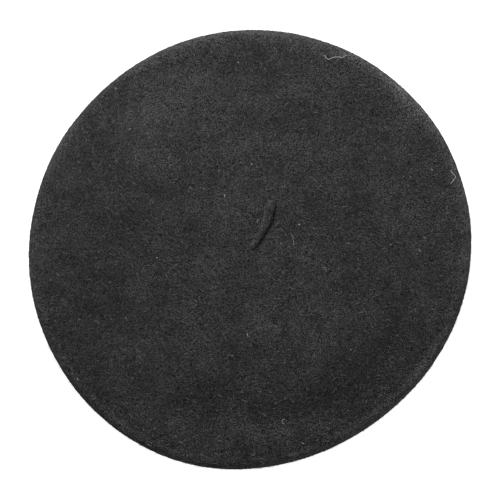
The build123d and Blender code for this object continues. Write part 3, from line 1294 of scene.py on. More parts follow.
    def build(self) -> Object:
        """Makes the shell, which is closed through the hole and round the foot of the neck.

        Its attribute of nap tone and painted light is the sum of the ovals, a painted shade on the rim's edge
        and underside, and a painted light ring on the rim whose tone runs straight between eight values round
        the crown.

        Returns:
            The piece.
        """
        length, depth = self.rows()
        angle = full_turn(self.columns)
        points = self.point(length[:, None], angle[None], depth[:, None])
        cells = grid_cells(len(length), self.columns, True, True)
        mesh = make_mesh("beret_felt", points, [cells])
        upward = self.wall.read(length)[3][:, None]
        amount = sum(oval.at(points) for oval in self.nap_tone_and_painted_light)
        # Painted shade on the faces that turn down, from the rim's edge to the underside.
        amount = amount + self.underside_painted_shade * (1 - smooth_step(upward, 0.05, 0.5))
        # Painted light: a paler ring where the crown turns over into the rim, its strength running between
        # eight values round the crown.
        start = self.wall.length_at("dome")
        ring = smooth_step(length, start - self.rim_fade, start + self.rim_fade)[:, None]
        ring = ring * smooth_step(upward, 0.25, 0.55)
        corners = np.linspace(0, 2 * pi, len(self.rim_painted_light) + 1)
        amount = amount + ring * np.interp(angle, corners, [*self.rim_painted_light, self.rim_painted_light[0]])
        paint(mesh, "nap_tone_and_painted_light", amount)
        piece = lay(mesh, Slot.FELT, Body.BERET, self.finish.material())
        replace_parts(piece, "felt_body")
        return piece


def smooth_path(points: Array, count: int) -> Array:
    """A Catmull-Rom curve through points, with its ends carried straight on.

    Args:
        points: The points that the curve goes through, (n, d).
        count: How many places on the curve.

    Returns:
        Places evenly spread over the curve's spans, (count, d).
    """
    knots = np.concatenate([2 * points[:1] - points[1:2], points, 2 * points[-1:] - points[-2:-1]])
    t = np.linspace(0, len(points) - 1 - 1e-6, count)
    k = t.astype(int)
    f = (t - k)[:, None]
    a, b, c, d = (knots[k + n] for n in range(4))
    return 0.5 * (2 * b + (c - a) * f + (2 * a - 5 * b + 4 * c - d) * f**2 + (3 * b - a - 3 * c + d) * f**3)


@dataclass(frozen=True)
class Lint:
    """One stray hair or bit of lint on the crown: the places that it passes, and its radius, in mm."""

    places: tuple[tuple[float, float], ...]
    radius: float = 0.13
    clear: float = 0.22 * MM
    arch: float = 0.15 * MM

    def path(self, felt: FeltBody) -> Array:
        """A smooth path through the places, lying on the felt with its middle raised.

        Args:
            felt: The felt that it lies on.

        Returns:
            The centre line, (n, 3).
        """
        plan = smooth_path(np.array(self.places) * MM, 6 * len(self.places))
        known, table = felt.wall.section()
        top = known < felt.wall.length_at("dome")
        length = np.interp(np.hypot(*plan.T), table[top, 0], known[top])
        surface = felt.point(length, np.arctan2(plan[:, 1], plan[:, 0]))
        height = surface[:, 2] + self.clear + self.arch * np.sin(pi * np.linspace(0, 1, len(plan)))
        return np.concatenate([plan, height[:, None]], axis=1)


@dataclass
class Wool:
    """The loose fibres on the felt, and the lint that has settled on it."""

    felt: FeltBody
    nap: Nap
    tones: list[Material]
    lint_finish: StrandFinish
    per_piece: int = 16000
    lint: tuple[Lint, ...] = (
        Lint(
            ((47.6, 122.7), (50.1, 120.2), (53.0, 121.4), (56.8, 121.8), (58.7, 121.3), (61.9, 123.2)), 0.22
        ),
        Lint(((127.4, 49.8), (129.0, 47.9), (130.6, 45.9), (129.2, 43.4), (127.2, 41.0)), 0.20),
        Lint(((-15.7, 34.4), (-15.3, 32.4)), 0.20),
        Lint(((5.0, 17.0), (5.8, 18.9)), 0.20),
        Lint(((13.9, 29.7), (14.5, 30.3)), 0.20),
        Lint(((31.1, 15.3), (31.9, 15.7)), 0.30),
        Lint(((1.0, 52.8), (1.6, 53.6)), 0.22),
        Lint(((26.3, 9.6), (27.4, 7.6), (27.9, 5.0), (28.0, 2.4)), 0.10),
        Lint(((107.3, -0.4), (108.3, -1.6)), 0.24),
        Lint(((110.3, 7.9), (111.5, 6.8)), 0.16),
        Lint(((62.2, 4.0), (63.2, 3.3)), 0.16),
        Lint(((88.4, 3.3), (89.9, 2.7)), 0.14),
        Lint(((47.0, -11.2), (48.0, -12.5), (48.6, -14.0)), 0.14),
        Lint(((-1.4, -52.8), (-0.8, -54.6)), 0.18),
        Lint(((22.6, -107.4), (21.2, -107.8), (20.8, -109.6), (22.2, -110.4)), 0.15),
        Lint(((33.4, -122.4), (34.8, -123.4)), 0.16),
        Lint(((-58.5, -5.0), (-57.3, -5.6)), 0.15),
        Lint(((-108.9, -81.7), (-108.1, -83.1)), 0.15),
        Lint(((63.4, -62.6), (64.5, -63.8)), 0.15),
        Lint(((-77.9, -42.8), (-76.9, -43.9)), 0.15),
        Lint(((-7.3, 118.6), (-6.4, 117.8)), 0.16),
        Lint(((115.4, 50.6), (116.1, 50.1)), 0.24),
        Lint(((101.6, 45.8), (102.3, 45.2)), 0.18),
        Lint(((-85.2, 102.4), (-84.2, 101.4)), 0.15),
        Lint(((-75.8, 75.6), (-74.9, 76.4)), 0.15),
    )

    def build(self) -> None:
        """Makes the nap on the crown, in two pieces, the nap on the rim and underside, and the lint."""
        dome = self.felt.wall.length_at("dome")
        neck = self.felt.wall.length_at("under") + 2 * MM
        stretches = [
            ("nap_crown_a", 21, 4 * MM, dome + 4 * MM),
            ("nap_crown_b", 22, 4 * MM, dome + 4 * MM),
            ("nap_rim", 23, dome - 6 * MM, neck),
        ]
        for name, seed, start, end in stretches:
            places, normals = self.felt.scatter(seed, self.per_piece, start, end)
            mesh = self.nap.mesh(name, seed + 100, places, normals)
            lay(mesh, Slot.FELT, Body.BERET, *self.tones)
        paths = [bit.path(self.felt) for bit in self.lint]
        mesh = tube_mesh("lint", paths, [0.7 * bit.radius * MM for bit in self.lint], 5)
        lay(mesh, Slot.FELT, Body.BERET, self.lint_finish.material())


@dataclass
class Stalk:
    """The stalk: one felted tail, held in the crown by its knot and bent over to lie along it."""

    finish: FeltFinish
    nap: Nap
    tones: list[Material]
    radius: float = 2.85 * MM
    root_radius: float = 2.1 * MM
    knot_radius: float = 5.0 * MM
    knot_height: float = 39.4 * MM
    reach: float = 28.0 * MM
    turn: float = radians(34.0)
    roll: float = radians(35.0)
    flatness: float = 0.25
    sunk: float = 0.6 * MM
    dip: float = 1.1 * MM
    climb: tuple[float, ...] = (-4.8 * MM, -3.3 * MM, -2.2 * MM)
    tail_shares: tuple[float, ...] = (0.085, 0.2, 0.36, 0.52, 0.68, 0.84, 1.0, 1.09)
    flare: float = 0.5 * MM
    unevenness: float = 0.055
    sides: int = 40
    stations: int = 120
    fibres: int = 700

    def __post_init__(self) -> None:
        """Takes the pivot and the heading from the frame, and draws the felt's unevenness."""
        joint = joint_named("stalk_lean")
        self.pivot = np.array(joint["pos_m"])
        axis = np.array(joint["axis"])
        self.along = unit(np.array([-axis[1], axis[0], 0.0]))
        self.bulge = np.array([self.along[1], -self.along[0], 0.0]) * cos(self.roll)
        self.noise = SoftNoise(31, 2.2 * MM, 9 * MM, 40)

    def tail(self, share: Array) -> Array:
        """The middle line of the lying part.

        It is an arc with a chord of reach that turns by turn, and its height grows from the root as the stalk
        gets thicker, so that it lies on the crown.

        Args:
            share: Shares of the chord.

        Returns:
            Points, (n, 3).
        """
        x = share * self.reach
        half = self.turn / 2
        sag = self.reach / 2 * (1 - cos(half)) / sin(half)
        y = sag * (1 - (2 * share - 1) ** 2)
        height = -self.sunk - self.dip * (1 - smooth_step(share, 0.0, 0.7))
        plan = self.pivot + self.along * x[:, None] + self.bulge * y[:, None]
        return plan + np.outer(height, [0.0, 0.0, 1.0])

    def line(self) -> Array:
        """The whole middle line, from the knot inside the crown up through it and over along the tail.

        It is a Catmull-Rom curve through points on the root's axis and on the tail's arc.

        Returns:
            Points, (stations, 3).
        """
        up = np.array([0.0, 0.0, 1.0])
        root = [self.pivot + up * h for h in (self.knot_height - self.pivot[2], *self.climb)]
        return smooth_path(np.array([*root, *self.tail(np.array(self.tail_shares))]), self.stations)

    def radii(self, line: Array) -> Array:
        """The radius at each station.

        A flat knot, a shaft, a flare where the stalk grows out of the crown, the tail swelling towards its
        tip, and a half-round end.

        Args:
            line: The middle line.

        Returns:
            Radii, (n,).
        """
        done = np.concatenate([[0.0], np.cumsum(np.linalg.norm(np.diff(line, axis=0), axis=1))])
        left = done[-1] - done
        height = line[:, 2] - self.pivot[2]
        standing = done < 7.5 * MM
        radius = self.root_radius + (self.radius - self.root_radius) * smooth_step(done, 10 * MM, 30 * MM)
        knot = np.sqrt(np.clip(1 - ((done - 0.8 * MM) / (0.85 * MM)) ** 2, 0, 1))
        radius = np.maximum(radius, self.knot_radius * knot * (done < 2 * MM))
        flare = self.flare * bell(height, -2.6 * MM, 1.1 * MM) * standing
        end = np.clip(left / (0.75 * self.radius), 0, 1)
        return (radius + flare) * np.sqrt(1 - (1 - end) ** 2 * 0.999)

    def surface(self) -> tuple[Array, Array]:
        """The grid of the stalk's surface and its middle line.

        A frame is carried along the line with no twist by taking each station's side direction as square to
        the tangent and to the tail's own side. The lying part is a little flat. The felt's unevenness moves
        each point along its spoke.

        Returns:
            The surface, (stations, sides, 3), and the line, (stations, 3).
        """
        line = self.line()
        tangent = unit(np.gradient(line, axis=0))
        side = unit(np.cross(np.array([self.along[1], -self.along[0], 0.0]), tangent))
        other = np.cross(tangent, side)
        turn = full_turn(self.sides)
        radii = self.radii(line)
        spoke = side[:, None] * np.cos(turn)[:, None] + other[:, None] * np.sin(turn)[:, None]
        uneven = self.noise.at(line[:, None] + spoke * self.radius) * (radii > MM)[:, None]
        rough = 1 + self.unevenness * uneven
        flat = 1 - self.flatness * smooth_step(line[:, 2], self.pivot[2] - 3 * MM, self.pivot[2] - MM)
        upright = side[:, None] * (np.cos(turn) * flat[:, None])[..., None]
        spoke = upright + other[:, None] * np.sin(turn)[:, None]
        return line[:, None] + spoke * (radii[:, None] * rough)[..., None], line

    def build(self) -> None:
        """Makes the stalk and its nap, laid on no body."""
        points, line = self.surface()
        tips = np.stack([line[0], line[-1]])
        every = np.concatenate([points.reshape(-1, 3), tips])
        mesh = make_mesh("stalk_felt", every, tube_faces(self.stations, self.sides))
        piece = lay(mesh, Slot.FELT, None, self.finish.material())
        rng = np.random.default_rng(33)
        above = np.flatnonzero(line[:, 2] > self.pivot[2] - 1.8 * MM)
        i = rng.integers(above[0], len(line) - 2, self.fibres)
        j = rng.integers(0, self.sides, self.fibres)
        places = points[i, j]
        mesh = self.nap.mesh("nap_stalk", 34, places, unit(places - line[i]))
        fluff = lay(mesh, Slot.FELT, None, *self.tones)
        for each in (piece, fluff):
            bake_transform(each)
        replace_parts(piece, "stalk_root", "stalk")


# ---- the leather band ----


class Face(Enum):
    """The two faces of the band that the sewing shows on."""

    INSIDE = -1
    OUTSIDE = 1


@dataclass
class LeatherBand:
    """The leather strip inside the opening, folded round the felt's edge and up outside it."""

    wall: Wall
    finish: LeatherFinish
    thread: Material
    tape: ClothFinish
    sewing: Sewing
    lip_height: float = 6.0 * MM
    fold: float = 1.9 * MM
    gap: float = 0.6 * MM
    stitch: float = 3.2 * MM
    pitch: float = 5.6 * MM
    stitch_height: float = 4.5 * MM
    joint_stitches: int = 8
    channel: float = 0.3 * MM
    press: float = 0.20 * MM
    press_width: float = 0.55 * MM
    waver: float = 0.30 * MM
    lip_waver: float = 0.10 * MM
    rise: float = 0.22 * MM
    columns: int = 960
    rows: int = 44

    def __post_init__(self) -> None:
        """Takes the opening's radius and the band's box from the frame."""
        self.radius = mount_named("head_opening")["dims"]["r_mm"] * MM
        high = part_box("sweatband")[1]
        self.outer, self.height = high.x, high.z
        self.leather = (self.outer - self.radius - self.wall.felt) / 2
        self.pull = SoftNoise(41, 18 * MM, 90 * MM, 30)

    def count(self, face: Face) -> int:
        """How many stitches go round the band.

        Args:
            face: The face that they are on.

        Returns:
            Their number.
        """
        seat = self.sewing.radius + 0.01 * MM
        row = self.radius + self.channel - seat if face is Face.INSIDE else self.outer + seat
        return round(2 * pi * row / self.pitch)

    def middle(self) -> tuple[Array, Array, Array]:
        """The middle line of the strip's section.

        Down inside, round two quarter circles under the felt's edge, and up outside.

        Returns:
            r, z and the direction that the line runs in, each (rows, ...).
        """
        half = self.leather / 2
        inner, outer = self.radius + half, self.outer - half
        turn = np.linspace(0, pi / 2, 9)
        bend = self.fold - half
        a = np.stack([inner + bend * (1 - np.cos(turn)), half + bend * (1 - np.sin(turn))], -1)
        b = np.stack([outer - bend * (1 - np.sin(turn)), half + bend * (1 - np.cos(turn))], -1)
        down = np.stack([np.full(20, inner), np.linspace(self.height - half, a[0, 1], 21)[:-1]], -1)
        up = np.stack([np.full(6, outer), np.linspace(b[-1, 1], self.lip_height - half, 7)[1:]], -1)
        line = np.concatenate([down, a, b, up])
        along = unit(np.gradient(line, axis=0))
        return line[:, 0], line[:, 1], along

    def loop(self) -> tuple[Array, Array, Array]:
        """The closed section: one face, a rounded cut edge, the other face back, and the other cut edge.

        Returns:
            r, z and how much of a cut edge each point is, from 0 to 1.
        """
        r, z, along = self.middle()
        half = self.leather / 2
        across = np.stack([-along[:, 1], along[:, 0]], -1)
        line = np.stack([r, z], -1)
        turn = np.linspace(0, pi, 6)[1:-1, None]
        last = line[-1] + half * (across[-1] * np.cos(turn) + along[-1] * np.sin(turn))
        first = line[0] - half * (across[0] * np.cos(turn) + along[0] * np.sin(turn))
        ring = np.concatenate([line + half * across, last, (line - half * across)[::-1], first])
        cut = np.concatenate([0 * r, np.ones(4), 0 * r, np.ones(4)])
        cut[[len(r) - 1, len(r) + 4, -5, 0]] = 0.5
        return ring[:, 0], ring[:, 1], cut

    def build_band(self) -> None:
        """Makes the strip from one side of the butt joint to the other.

        The stitches press a channel into both faces and draw the lip in under each thread. The free top edge
        wavers, and the ends of the strip are closed by cells across its thickness.
        """
        r, z, cut = self.loop()
        half_gap = self.gap / 2 / self.radius
        angle = np.linspace(pi / 2 + half_gap, 5 * pi / 2 - half_gap, self.columns)
        ring = len(r)
        radius, height = np.broadcast_arrays(r[None], z[None])
        turn = angle[:, None]
        place = polar(radius, turn, height)
        inside = radius < self.radius + self.leather * 0.25
        outside = radius > self.outer - self.leather * 0.25
        row = bell(height, self.stitch_height, self.press_width)
        press = np.zeros_like(radius)
        for face, mask in ((Face.INSIDE, inside), (Face.OUTSIDE, outside)):
            beat = np.cos(self.count(face) * (turn - pi / 2) + pi)
            deep, shallow = self.channel * (0.8 + 0.25 * beat), self.press * (0.6 + 0.5 * beat)
            depth = deep if face is Face.INSIDE else shallow
            press = press - face.value * depth * row * mask
        free = smooth_step(height, 8 * MM, self.height) * (radius < self.radius + self.leather * 1.2)
        waver = self.waver * self.pull.at(place) * free
        lip = self.lip_waver * self.pull.at(place * 2.0) * smooth_step(height, 3 * MM, self.lip_height)
        lip = lip * (radius > self.outer - 1.5 * MM)
        rise = self.rise * self.pull.at(place + 0.5) * smooth_step(height, 20 * MM, self.height)
        points = polar(radius + press + waver + lip, turn, height + rise)
        cells = grid_cells(self.columns, ring, False, True)
        caps = self.end_caps(ring)
        mesh = make_mesh("band_leather", points, [np.concatenate([cells, caps])])
        paint(mesh, "cut_edge", np.tile(cut, self.columns))
        piece = lay(mesh, Slot.LEATHER, Body.BERET, self.finish.material())
        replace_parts(piece, "sweatband")

    def end_caps(self, ring: int) -> Array:
        """Cells across the thickness that close the strip's two ends: point k faces point -k of the loop.

        Args:
            ring: Points of the loop.

        Returns:
            One line of four point numbers for each cell.
        """
        pairs = ring // 2 - 1
        first = ring - 2
        k = np.arange(pairs)
        near = (k - 2) % ring
        far = (first - 1 - k) % ring
        near_next, far_next = (near + 1) % ring, (far - 1) % ring
        start = np.stack([near, near_next, far_next, far], -1)
        last = (self.columns - 1) * ring
        return np.concatenate([start, start[:, ::-1] + last])

    def build_stitches(self) -> None:
        """Makes the row of stitches through lip, felt and leather on each face, and those over the joint."""
        names = {
            Face.INSIDE: ("stitches_inside", "band_stitches_inner"),
            Face.OUTSIDE: ("stitches_outside", "band_stitches_outer"),
        }
        for face, (name, node) in names.items():
            count = self.count(face)
            middle = 2 * pi * (np.arange(count) + 0.5) / count + pi / 2
            radius = self.radius + self.channel * 0.5 if face is Face.INSIDE else self.outer - 0.02 * MM
            half = self.stitch / 2 / radius
            rng = np.random.default_rng(43 + face.value)
            height = self.stitch_height + rng.normal(0, 0.05 * MM, (2, count))
            starts, ends = (polar(radius, middle + s * half, h) for s, h in zip((-1, 1), height))
            outward = polar(np.full(count, float(face.value)), middle, 0.0)
            piece = lay(self.sewing.mesh(name, starts, ends, outward), Slot.THREAD, Body.BERET, self.thread)
            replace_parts(piece, node)
        low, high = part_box("band_joint_stitches")
        heights = np.linspace(low.z + self.sewing.radius, high.z - self.sewing.radius, self.joint_stitches)
        tilt = 0.5 * MM
        y = sqrt(self.radius**2 - (self.stitch / 2) ** 2) + 0.1 * MM
        sides = [(side * self.stitch / 2, heights + side * tilt) for side in (-1, 1)]
        starts, ends = (np.stack(np.broadcast_arrays(x, y, z), -1) for x, z in sides)
        outward = np.tile([0.0, -1.0, 0.0], (len(heights), 1))
        mesh = self.sewing.mesh("stitches_joint", starts, ends, outward)
        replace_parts(lay(mesh, Slot.THREAD, Body.BERET, self.thread), "band_joint_stitches")

    def build_tape(self) -> None:
        """Makes the tape behind the joint: a thin strip curved round the axis behind the leather."""
        low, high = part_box("band_joint_tape")
        inner = self.radius + self.leather
        thick, rows = 0.34 * MM, 30
        section = rounded_strip(high.x - low.x, thick, 24)
        heights = np.linspace(low.z, high.z, rows)
        angle = pi / 2 + section[:, 0] / inner
        radius = inner + thick / 2 + 0.04 * MM + section[:, 1]
        points = polar(radius[None], angle[None], heights[:, None])
        tips = polar(inner + thick / 2, np.full(2, pi / 2), heights[[0, -1]])
        every = np.concatenate([points.reshape(-1, 3), tips])
        uv = np.stack(np.broadcast_arrays(section[None, :, 0], heights[:, None]), -1).reshape(-1, 2)
        uv = np.concatenate([uv, [[0.0, low.z], [0.0, high.z]]])
        mesh = make_mesh("joint_tape", every, tube_faces(rows, len(section)), uv)
        piece = lay(mesh, Slot.TAPE, Body.BERET, self.tape.material())
        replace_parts(piece, "band_joint_tape")

    def build(self) -> None:
        """Makes the band, its stitches and the tape."""
        self.build_band()
        self.build_stitches()
        self.build_tape()


# ---- lining and labels ----


@dataclass
class Lining:
    """The satin lining: a round top sewn to a side that runs round inside the rim to the leather."""

    wall: Wall
    finish: ClothFinish
    thread: Material
    sewing: Sewing
    thickness: float = 0.3 * MM
    clear: float = 0.2 * MM
    gathers: int = 46
    gather: float = 0.42 * MM
    soft: float = 0.34 * MM
    wrinkles: float = 0.07 * MM
    pleats: int = 64
    pleat: float = 0.75 * MM
    slack: float = 0.22 * MM
    width_share: float = 0.93
    turning: float = 3 * MM
    stitch: float = 3.2 * MM
    pitch: float = 5.6 * MM
    columns: int = 320
    side_columns: int = 420
    side_rows: int = 110

    def __post_init__(self) -> None:
        """Takes the seam from the frame and draws the creases."""
        self.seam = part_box("lining_crown")[1].x
        self.depth = self.wall.felt + self.wall.hollow
        self.creases = SoftNoise(51, 14 * MM, 60 * MM, 40)
        self.fine = SoftNoise(52, 5 * MM, 16 * MM, 40)

    def hang(self, x: Array, y: Array) -> Array:
        """How far the top hangs below its own dome, in soft creases that run out to the seam.

        Args:
            x: Places across.
            y: Places along.

        Returns:
            Distances.
        """
        radius = np.hypot(x, y)
        angle = np.arctan2(y, x)
        flat = np.stack([x, y, 0 * x], -1)
        wave = np.cos(self.gathers * angle + 3 * self.creases.at(flat))
        wave = wave * smooth_step(radius, 60 * MM, self.seam)
        soft = self.soft * np.abs(self.creases.at(flat)) + self.wrinkles * np.abs(self.fine.at(flat))
        share = smooth_step(radius, 34 * MM, 60 * MM)
        return (soft + self.gather * (1 + wave)) * share * bell(radius, self.seam * 0.62, 60 * MM)

    def under(self, x: Array, y: Array, below: Array | float = 0.0) -> Array:
        """Points of the lower face of the lining's top, or below it.

        Args:
            x: Places across.
            y: Places along.
            below: How far below the face.

        Returns:
            Points.
        """
        depth = self.depth + self.thickness + self.clear
        dome = self.wall.dome_centre + np.sqrt((self.wall.dome_radius - depth) ** 2 - x**2 - y**2)
        x, y, z = np.broadcast_arrays(x, y, dome - self.hang(x, y) - below)
        return np.stack([x, y, z], -1)

    def build_top(self) -> None:
        """Makes the round top: a disc of two faces, closed at its edge and at both poles."""
        lower, upper, pole = 96, 60, 1.2 * MM
        radius = np.concatenate([np.linspace(pole, self.seam, lower), np.linspace(self.seam, pole, upper)])
        above = np.concatenate([np.zeros(lower), np.full(upper, self.thickness)])
        angle = full_turn(self.columns)
        x, y = radius[:, None] * np.cos(angle), radius[:, None] * np.sin(angle)
        points = self.under(x, y, -above[:, None])
        zero = np.zeros(1)
        poles = np.concatenate([self.under(zero, zero), self.under(zero, zero, -self.thickness)])
        every = np.concatenate([points.reshape(-1, 3), poles])
        mesh = make_mesh("lining_top", every, tube_faces(len(radius), self.columns), every[:, :2])
        piece = lay(mesh, Slot.SATIN, Body.BERET, self.finish.material())
        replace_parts(piece, "lining_crown")

    def build_side(self) -> None:
        """Makes the side, gathered at its hem: a strip of two faces round the axis.

        Its pleats are waves of the plan angle that grow towards the hem, and always stand away from the felt.
        """
        known, table = self.wall.section()
        dome = known < self.wall.length_at("dome")
        start = float(np.interp(self.seam, table[dome, 0], known[dome]))
        last = self.wall.length_at("bend")
        hem = last - 0.80 * self.wall.bend
        length = np.linspace(start, hem, self.side_rows)
        angle = full_turn(self.side_columns)
        share = (length - start) / (hem - start)
        base = self.wall.at_depth(length[:, None], angle[None], self.depth)
        drift = self.creases.at(base)
        pleats = 0.5 + 0.5 * np.cos(self.pleats * angle[None] + 1.6 * drift)
        grown = smooth_step(share, 0.45, 0.9)[:, None]
        sewn = (1 - 0.6 * smooth_step(share, 0.9, 1.0))[:, None]
        stand = self.pleat * pleats * grown * sewn
        stand = stand + self.slack * np.abs(drift) * np.sin(pi * share)[:, None]
        near = self.depth + 0.1 * MM + stand
        outer = self.wall.at_depth(length[:, None], angle[None], near)
        inner = self.wall.at_depth(length[::-1, None], angle[None], near[::-1] + self.thickness)
        points = np.concatenate([outer, inner])
        round_it = angle * self.crown_scale()
        down = np.concatenate([length, length[::-1]])
        uv = np.stack(np.broadcast_arrays(round_it[None], down[:, None]), -1)
        cells = grid_cells(2 * self.side_rows, self.side_columns, True, True)
        mesh = make_mesh("lining_side_satin", points, [cells], uv)
        piece = lay(mesh, Slot.SATIN, Body.BERET, self.finish.material())
        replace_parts(piece, "lining_side")

    def crown_scale(self) -> float:
        """Metres of map for each radian round the side: a whole number of weave repeats in a turn."""
        repeat = self.finish.warp_pitch * 2
        return round(2 * pi * self.seam / repeat) * repeat / (2 * pi)

    def build_seam(self) -> None:
        """Makes the row of stitches along the seam, lying on the lower face of the top."""
        row = self.seam - 0.5 * MM
        count = round(2 * pi * row / self.pitch)
        middle = 2 * pi * np.arange(count) / count
        half = self.stitch / 2 / row
        seat = 0.12 * MM
        both = (middle - half, middle + half)
        starts, ends = (self.under(row * np.cos(t), row * np.sin(t), seat) for t in both)
        outward = np.tile([0.0, 0.0, -1.0], (count, 1))
        mesh = self.sewing.mesh("stitches_lining", starts, ends, outward)
        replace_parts(lay(mesh, Slot.THREAD, Body.BERET, self.thread), "lining_seam_stitches")

    def build(self) -> None:
        """Makes the top, the side and the seam between them."""
        self.build_top()
        self.build_side()
        self.build_seam()


@dataclass
class Labels:
    """The blank woven label and the folded size tab on the lining."""

    lining: Lining
    finish: ClothFinish
    ribbon: ClothFinish
    thread: Material
    ink: Material
    sewing: Sewing
    corner: float = 4.0 * MM
    thickness: float = 0.35 * MM
    stitch: float = 2.0 * MM
    pitch: float = 4.0 * MM
    stitch_inset: float = 1.0 * MM
    hem: float = 0.14 * MM
    puff: float = 0.12 * MM
    gap: float = 0.1 * MM
    ply: float = 0.26 * MM
    bulge: float = 0.12 * MM
    digit_height: float = 6.4 * MM
    digit_radius: float = 0.28 * MM
    columns: int = 256
    rows: int = 44

    def __post_init__(self) -> None:
        """Takes the label's and the tab's places from the frame."""
        self.low, self.high = (np.array(c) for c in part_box("maker_label"))
        self.centre = (self.low + self.high) / 2
        self.half = (self.high - self.low)[:2] / 2
        self.tab_low, self.tab_high = (np.array(c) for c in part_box("size_tab"))
        self.root_high = np.array(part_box("size_tab_root")[1])
        self.hinge = np.array(joint_named("size_tab_flip")["pos_m"])

    def outline(self) -> Array:
        """Points round a rectangle with quarter-round corners, at even plan angles about its middle.

        Each is where the ray at its angle meets a straight side or, past the side's end, the corner's circle.

        Returns:
            Points, (columns, 2).
        """
        angle = (np.arange(self.columns) + 0.5) * 2 * pi / self.columns
        ray = np.stack([np.cos(angle), np.sin(angle)], -1)
        side = np.min(self.half / np.abs(ray), axis=1)
        centre = np.sign(ray) * (self.half - self.corner)
        ahead = (ray * centre).sum(1)
        bend = ahead + np.sqrt(np.maximum(ahead**2 - (centre**2).sum(1) + self.corner**2, 0.0))
        past = (np.abs(ray * side[:, None]) > np.abs(centre)).all(1)
        return ray * np.where(past, bend, side)[:, None]

    def build_label(self) -> None:
        """Makes the label: rings that shrink from its outline to its middle, on two faces.

        The hem folded under its edge makes it a little thicker there.
        """
        shares = np.linspace(0.02, 1, self.rows)
        shares = np.concatenate([shares, np.linspace(1, 0.02, self.rows)])
        plan = self.outline()[None] * shares[:, None, None]
        inset = np.min(self.half - np.abs(plan), axis=-1)
        hem = self.hem * (1 - smooth_step(inset, 2.2 * MM, 3.0 * MM)) * smooth_step(inset, 0.0, 0.3 * MM)
        lower = np.arange(2 * self.rows) < self.rows
        above = 0.03 * MM
        depth = np.where(lower[:, None], self.thickness + hem, above)
        x, y = plan[..., 0] + self.centre[0], plan[..., 1] + self.centre[1]
        puff = self.puff * self.lining.fine.at(np.stack([x, y, 0 * x], -1)) * smooth_step(inset, 0.0, 6 * MM)
        points = self.lining.under(x, y, depth + self.gap + puff)
        middle = (self.thickness + self.gap, above + self.gap)
        poles = np.stack([self.lining.under(self.centre[0], self.centre[1], d) for d in middle])
        every = np.concatenate([points.reshape(-1, 3), poles])
        faces = tube_faces(2 * self.rows, self.columns)
        mesh = make_mesh("label", every, faces, every[:, :2] - self.centre[:2])
        piece = lay(mesh, Slot.LABEL, Body.BERET, self.finish.material())
        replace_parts(piece, "maker_label")

    def build_label_stitches(self) -> None:
        """Makes the stitches along the label's four sides."""
        wide, deep = self.half - self.stitch_inset
        run = np.array([wide, deep]) - self.corner
        counts = [round(2 * r / self.pitch) + 1 for r in run]
        places = []
        for side in (-1, 1):
            places += [(x, side * deep, 0.0) for x in np.linspace(-run[0], run[0], counts[0])]
            places += [(side * wide, y, pi / 2) for y in np.linspace(-run[1], run[1], counts[1])]
        x, y, heading = np.array(places).T
        seat = self.thickness + 0.38 * MM
        ends = []
        for side in (-1, 1):
            far = side * self.stitch / 2
            at = (x + self.centre[0] + far * np.cos(heading), y + self.centre[1] + far * np.sin(heading))
            ends.append(self.lining.under(*at, seat))
        outward = np.tile([0.0, 0.0, -1.0], (len(x), 1))
        mesh = self.sewing.mesh("stitches_label", ends[0], ends[1], outward)
        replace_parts(lay(mesh, Slot.THREAD, Body.BERET, self.thread), "label_stitches")

    def build_tab(self) -> None:
        """Makes the size tab: a ribbon folded back on itself, with both ends sewn down behind its hinge.

        The section of the folded ribbon, in the plane square to the hinge, is carried across the tab. The two
        layers meet at the sewn end and stand a little apart at the fold.
        """
        ply = self.ply
        back, front = self.root_high[1], self.tab_low[1]
        middle = (self.tab_low[2] + self.tab_high[2]) / 2
        a = np.linspace(0, 1, 26)
        y = back + (front + 0.35 * MM - back) * a
        lift = smooth_step(a, 0.08, 0.22)
        root_z = self.lining.under(0.0, back, 0.0)[2] - ply
        level = root_z + (middle - root_z) * lift
        apart = 0.5 * ply + self.bulge * np.sin(pi * a) ** 0.5
        turn = np.linspace(pi / 2, -pi / 2, 7)[1:-1]
        fold = np.stack([y[-1] - 0.3 * MM * np.cos(turn), level[-1] + apart[-1] * np.sin(turn)], -1)
        upper, lower = np.stack([y, level + apart], -1), np.stack([y, level - apart], -1)
        line = np.concatenate([upper, fold, lower[::-1]])
        along = unit(np.gradient(line, axis=0))
        across = np.stack([-along[:, 1], along[:, 0]], -1) * ply / 2
        loop = np.concatenate([line + across, (line - across)[::-1]])
        columns = 26
        x = np.linspace(self.tab_low[0], self.tab_high[0], columns)
        points = np.stack(np.broadcast_arrays(x[:, None], loop[None, :, 0], loop[None, :, 1]), -1)
        ring = len(loop)
        k = np.arange(ring // 2 - 1)
        start = np.stack([k, k + 1, ring - 2 - k, ring - 1 - k], -1)
        caps = np.concatenate([start[:, ::-1], start + (columns - 1) * ring])
        faces = [np.concatenate([grid_cells(columns, ring, False, True), caps])]
        done = np.concatenate([[0.0], np.cumsum(np.linalg.norm(np.diff(line, axis=0), axis=1))])
        uv = np.stack(np.broadcast_arrays(x[:, None], np.concatenate([done, done[::-1]])[None]), -1)
        piece = lay(make_mesh("size_ribbon", points, faces, uv), Slot.LABEL, None, self.ribbon.material())
        start = (0, self.hinge[1] + 0.5 * MM, self.hinge[2])
        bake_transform(piece)
        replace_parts(piece, "size_tab_root", "size_tab")

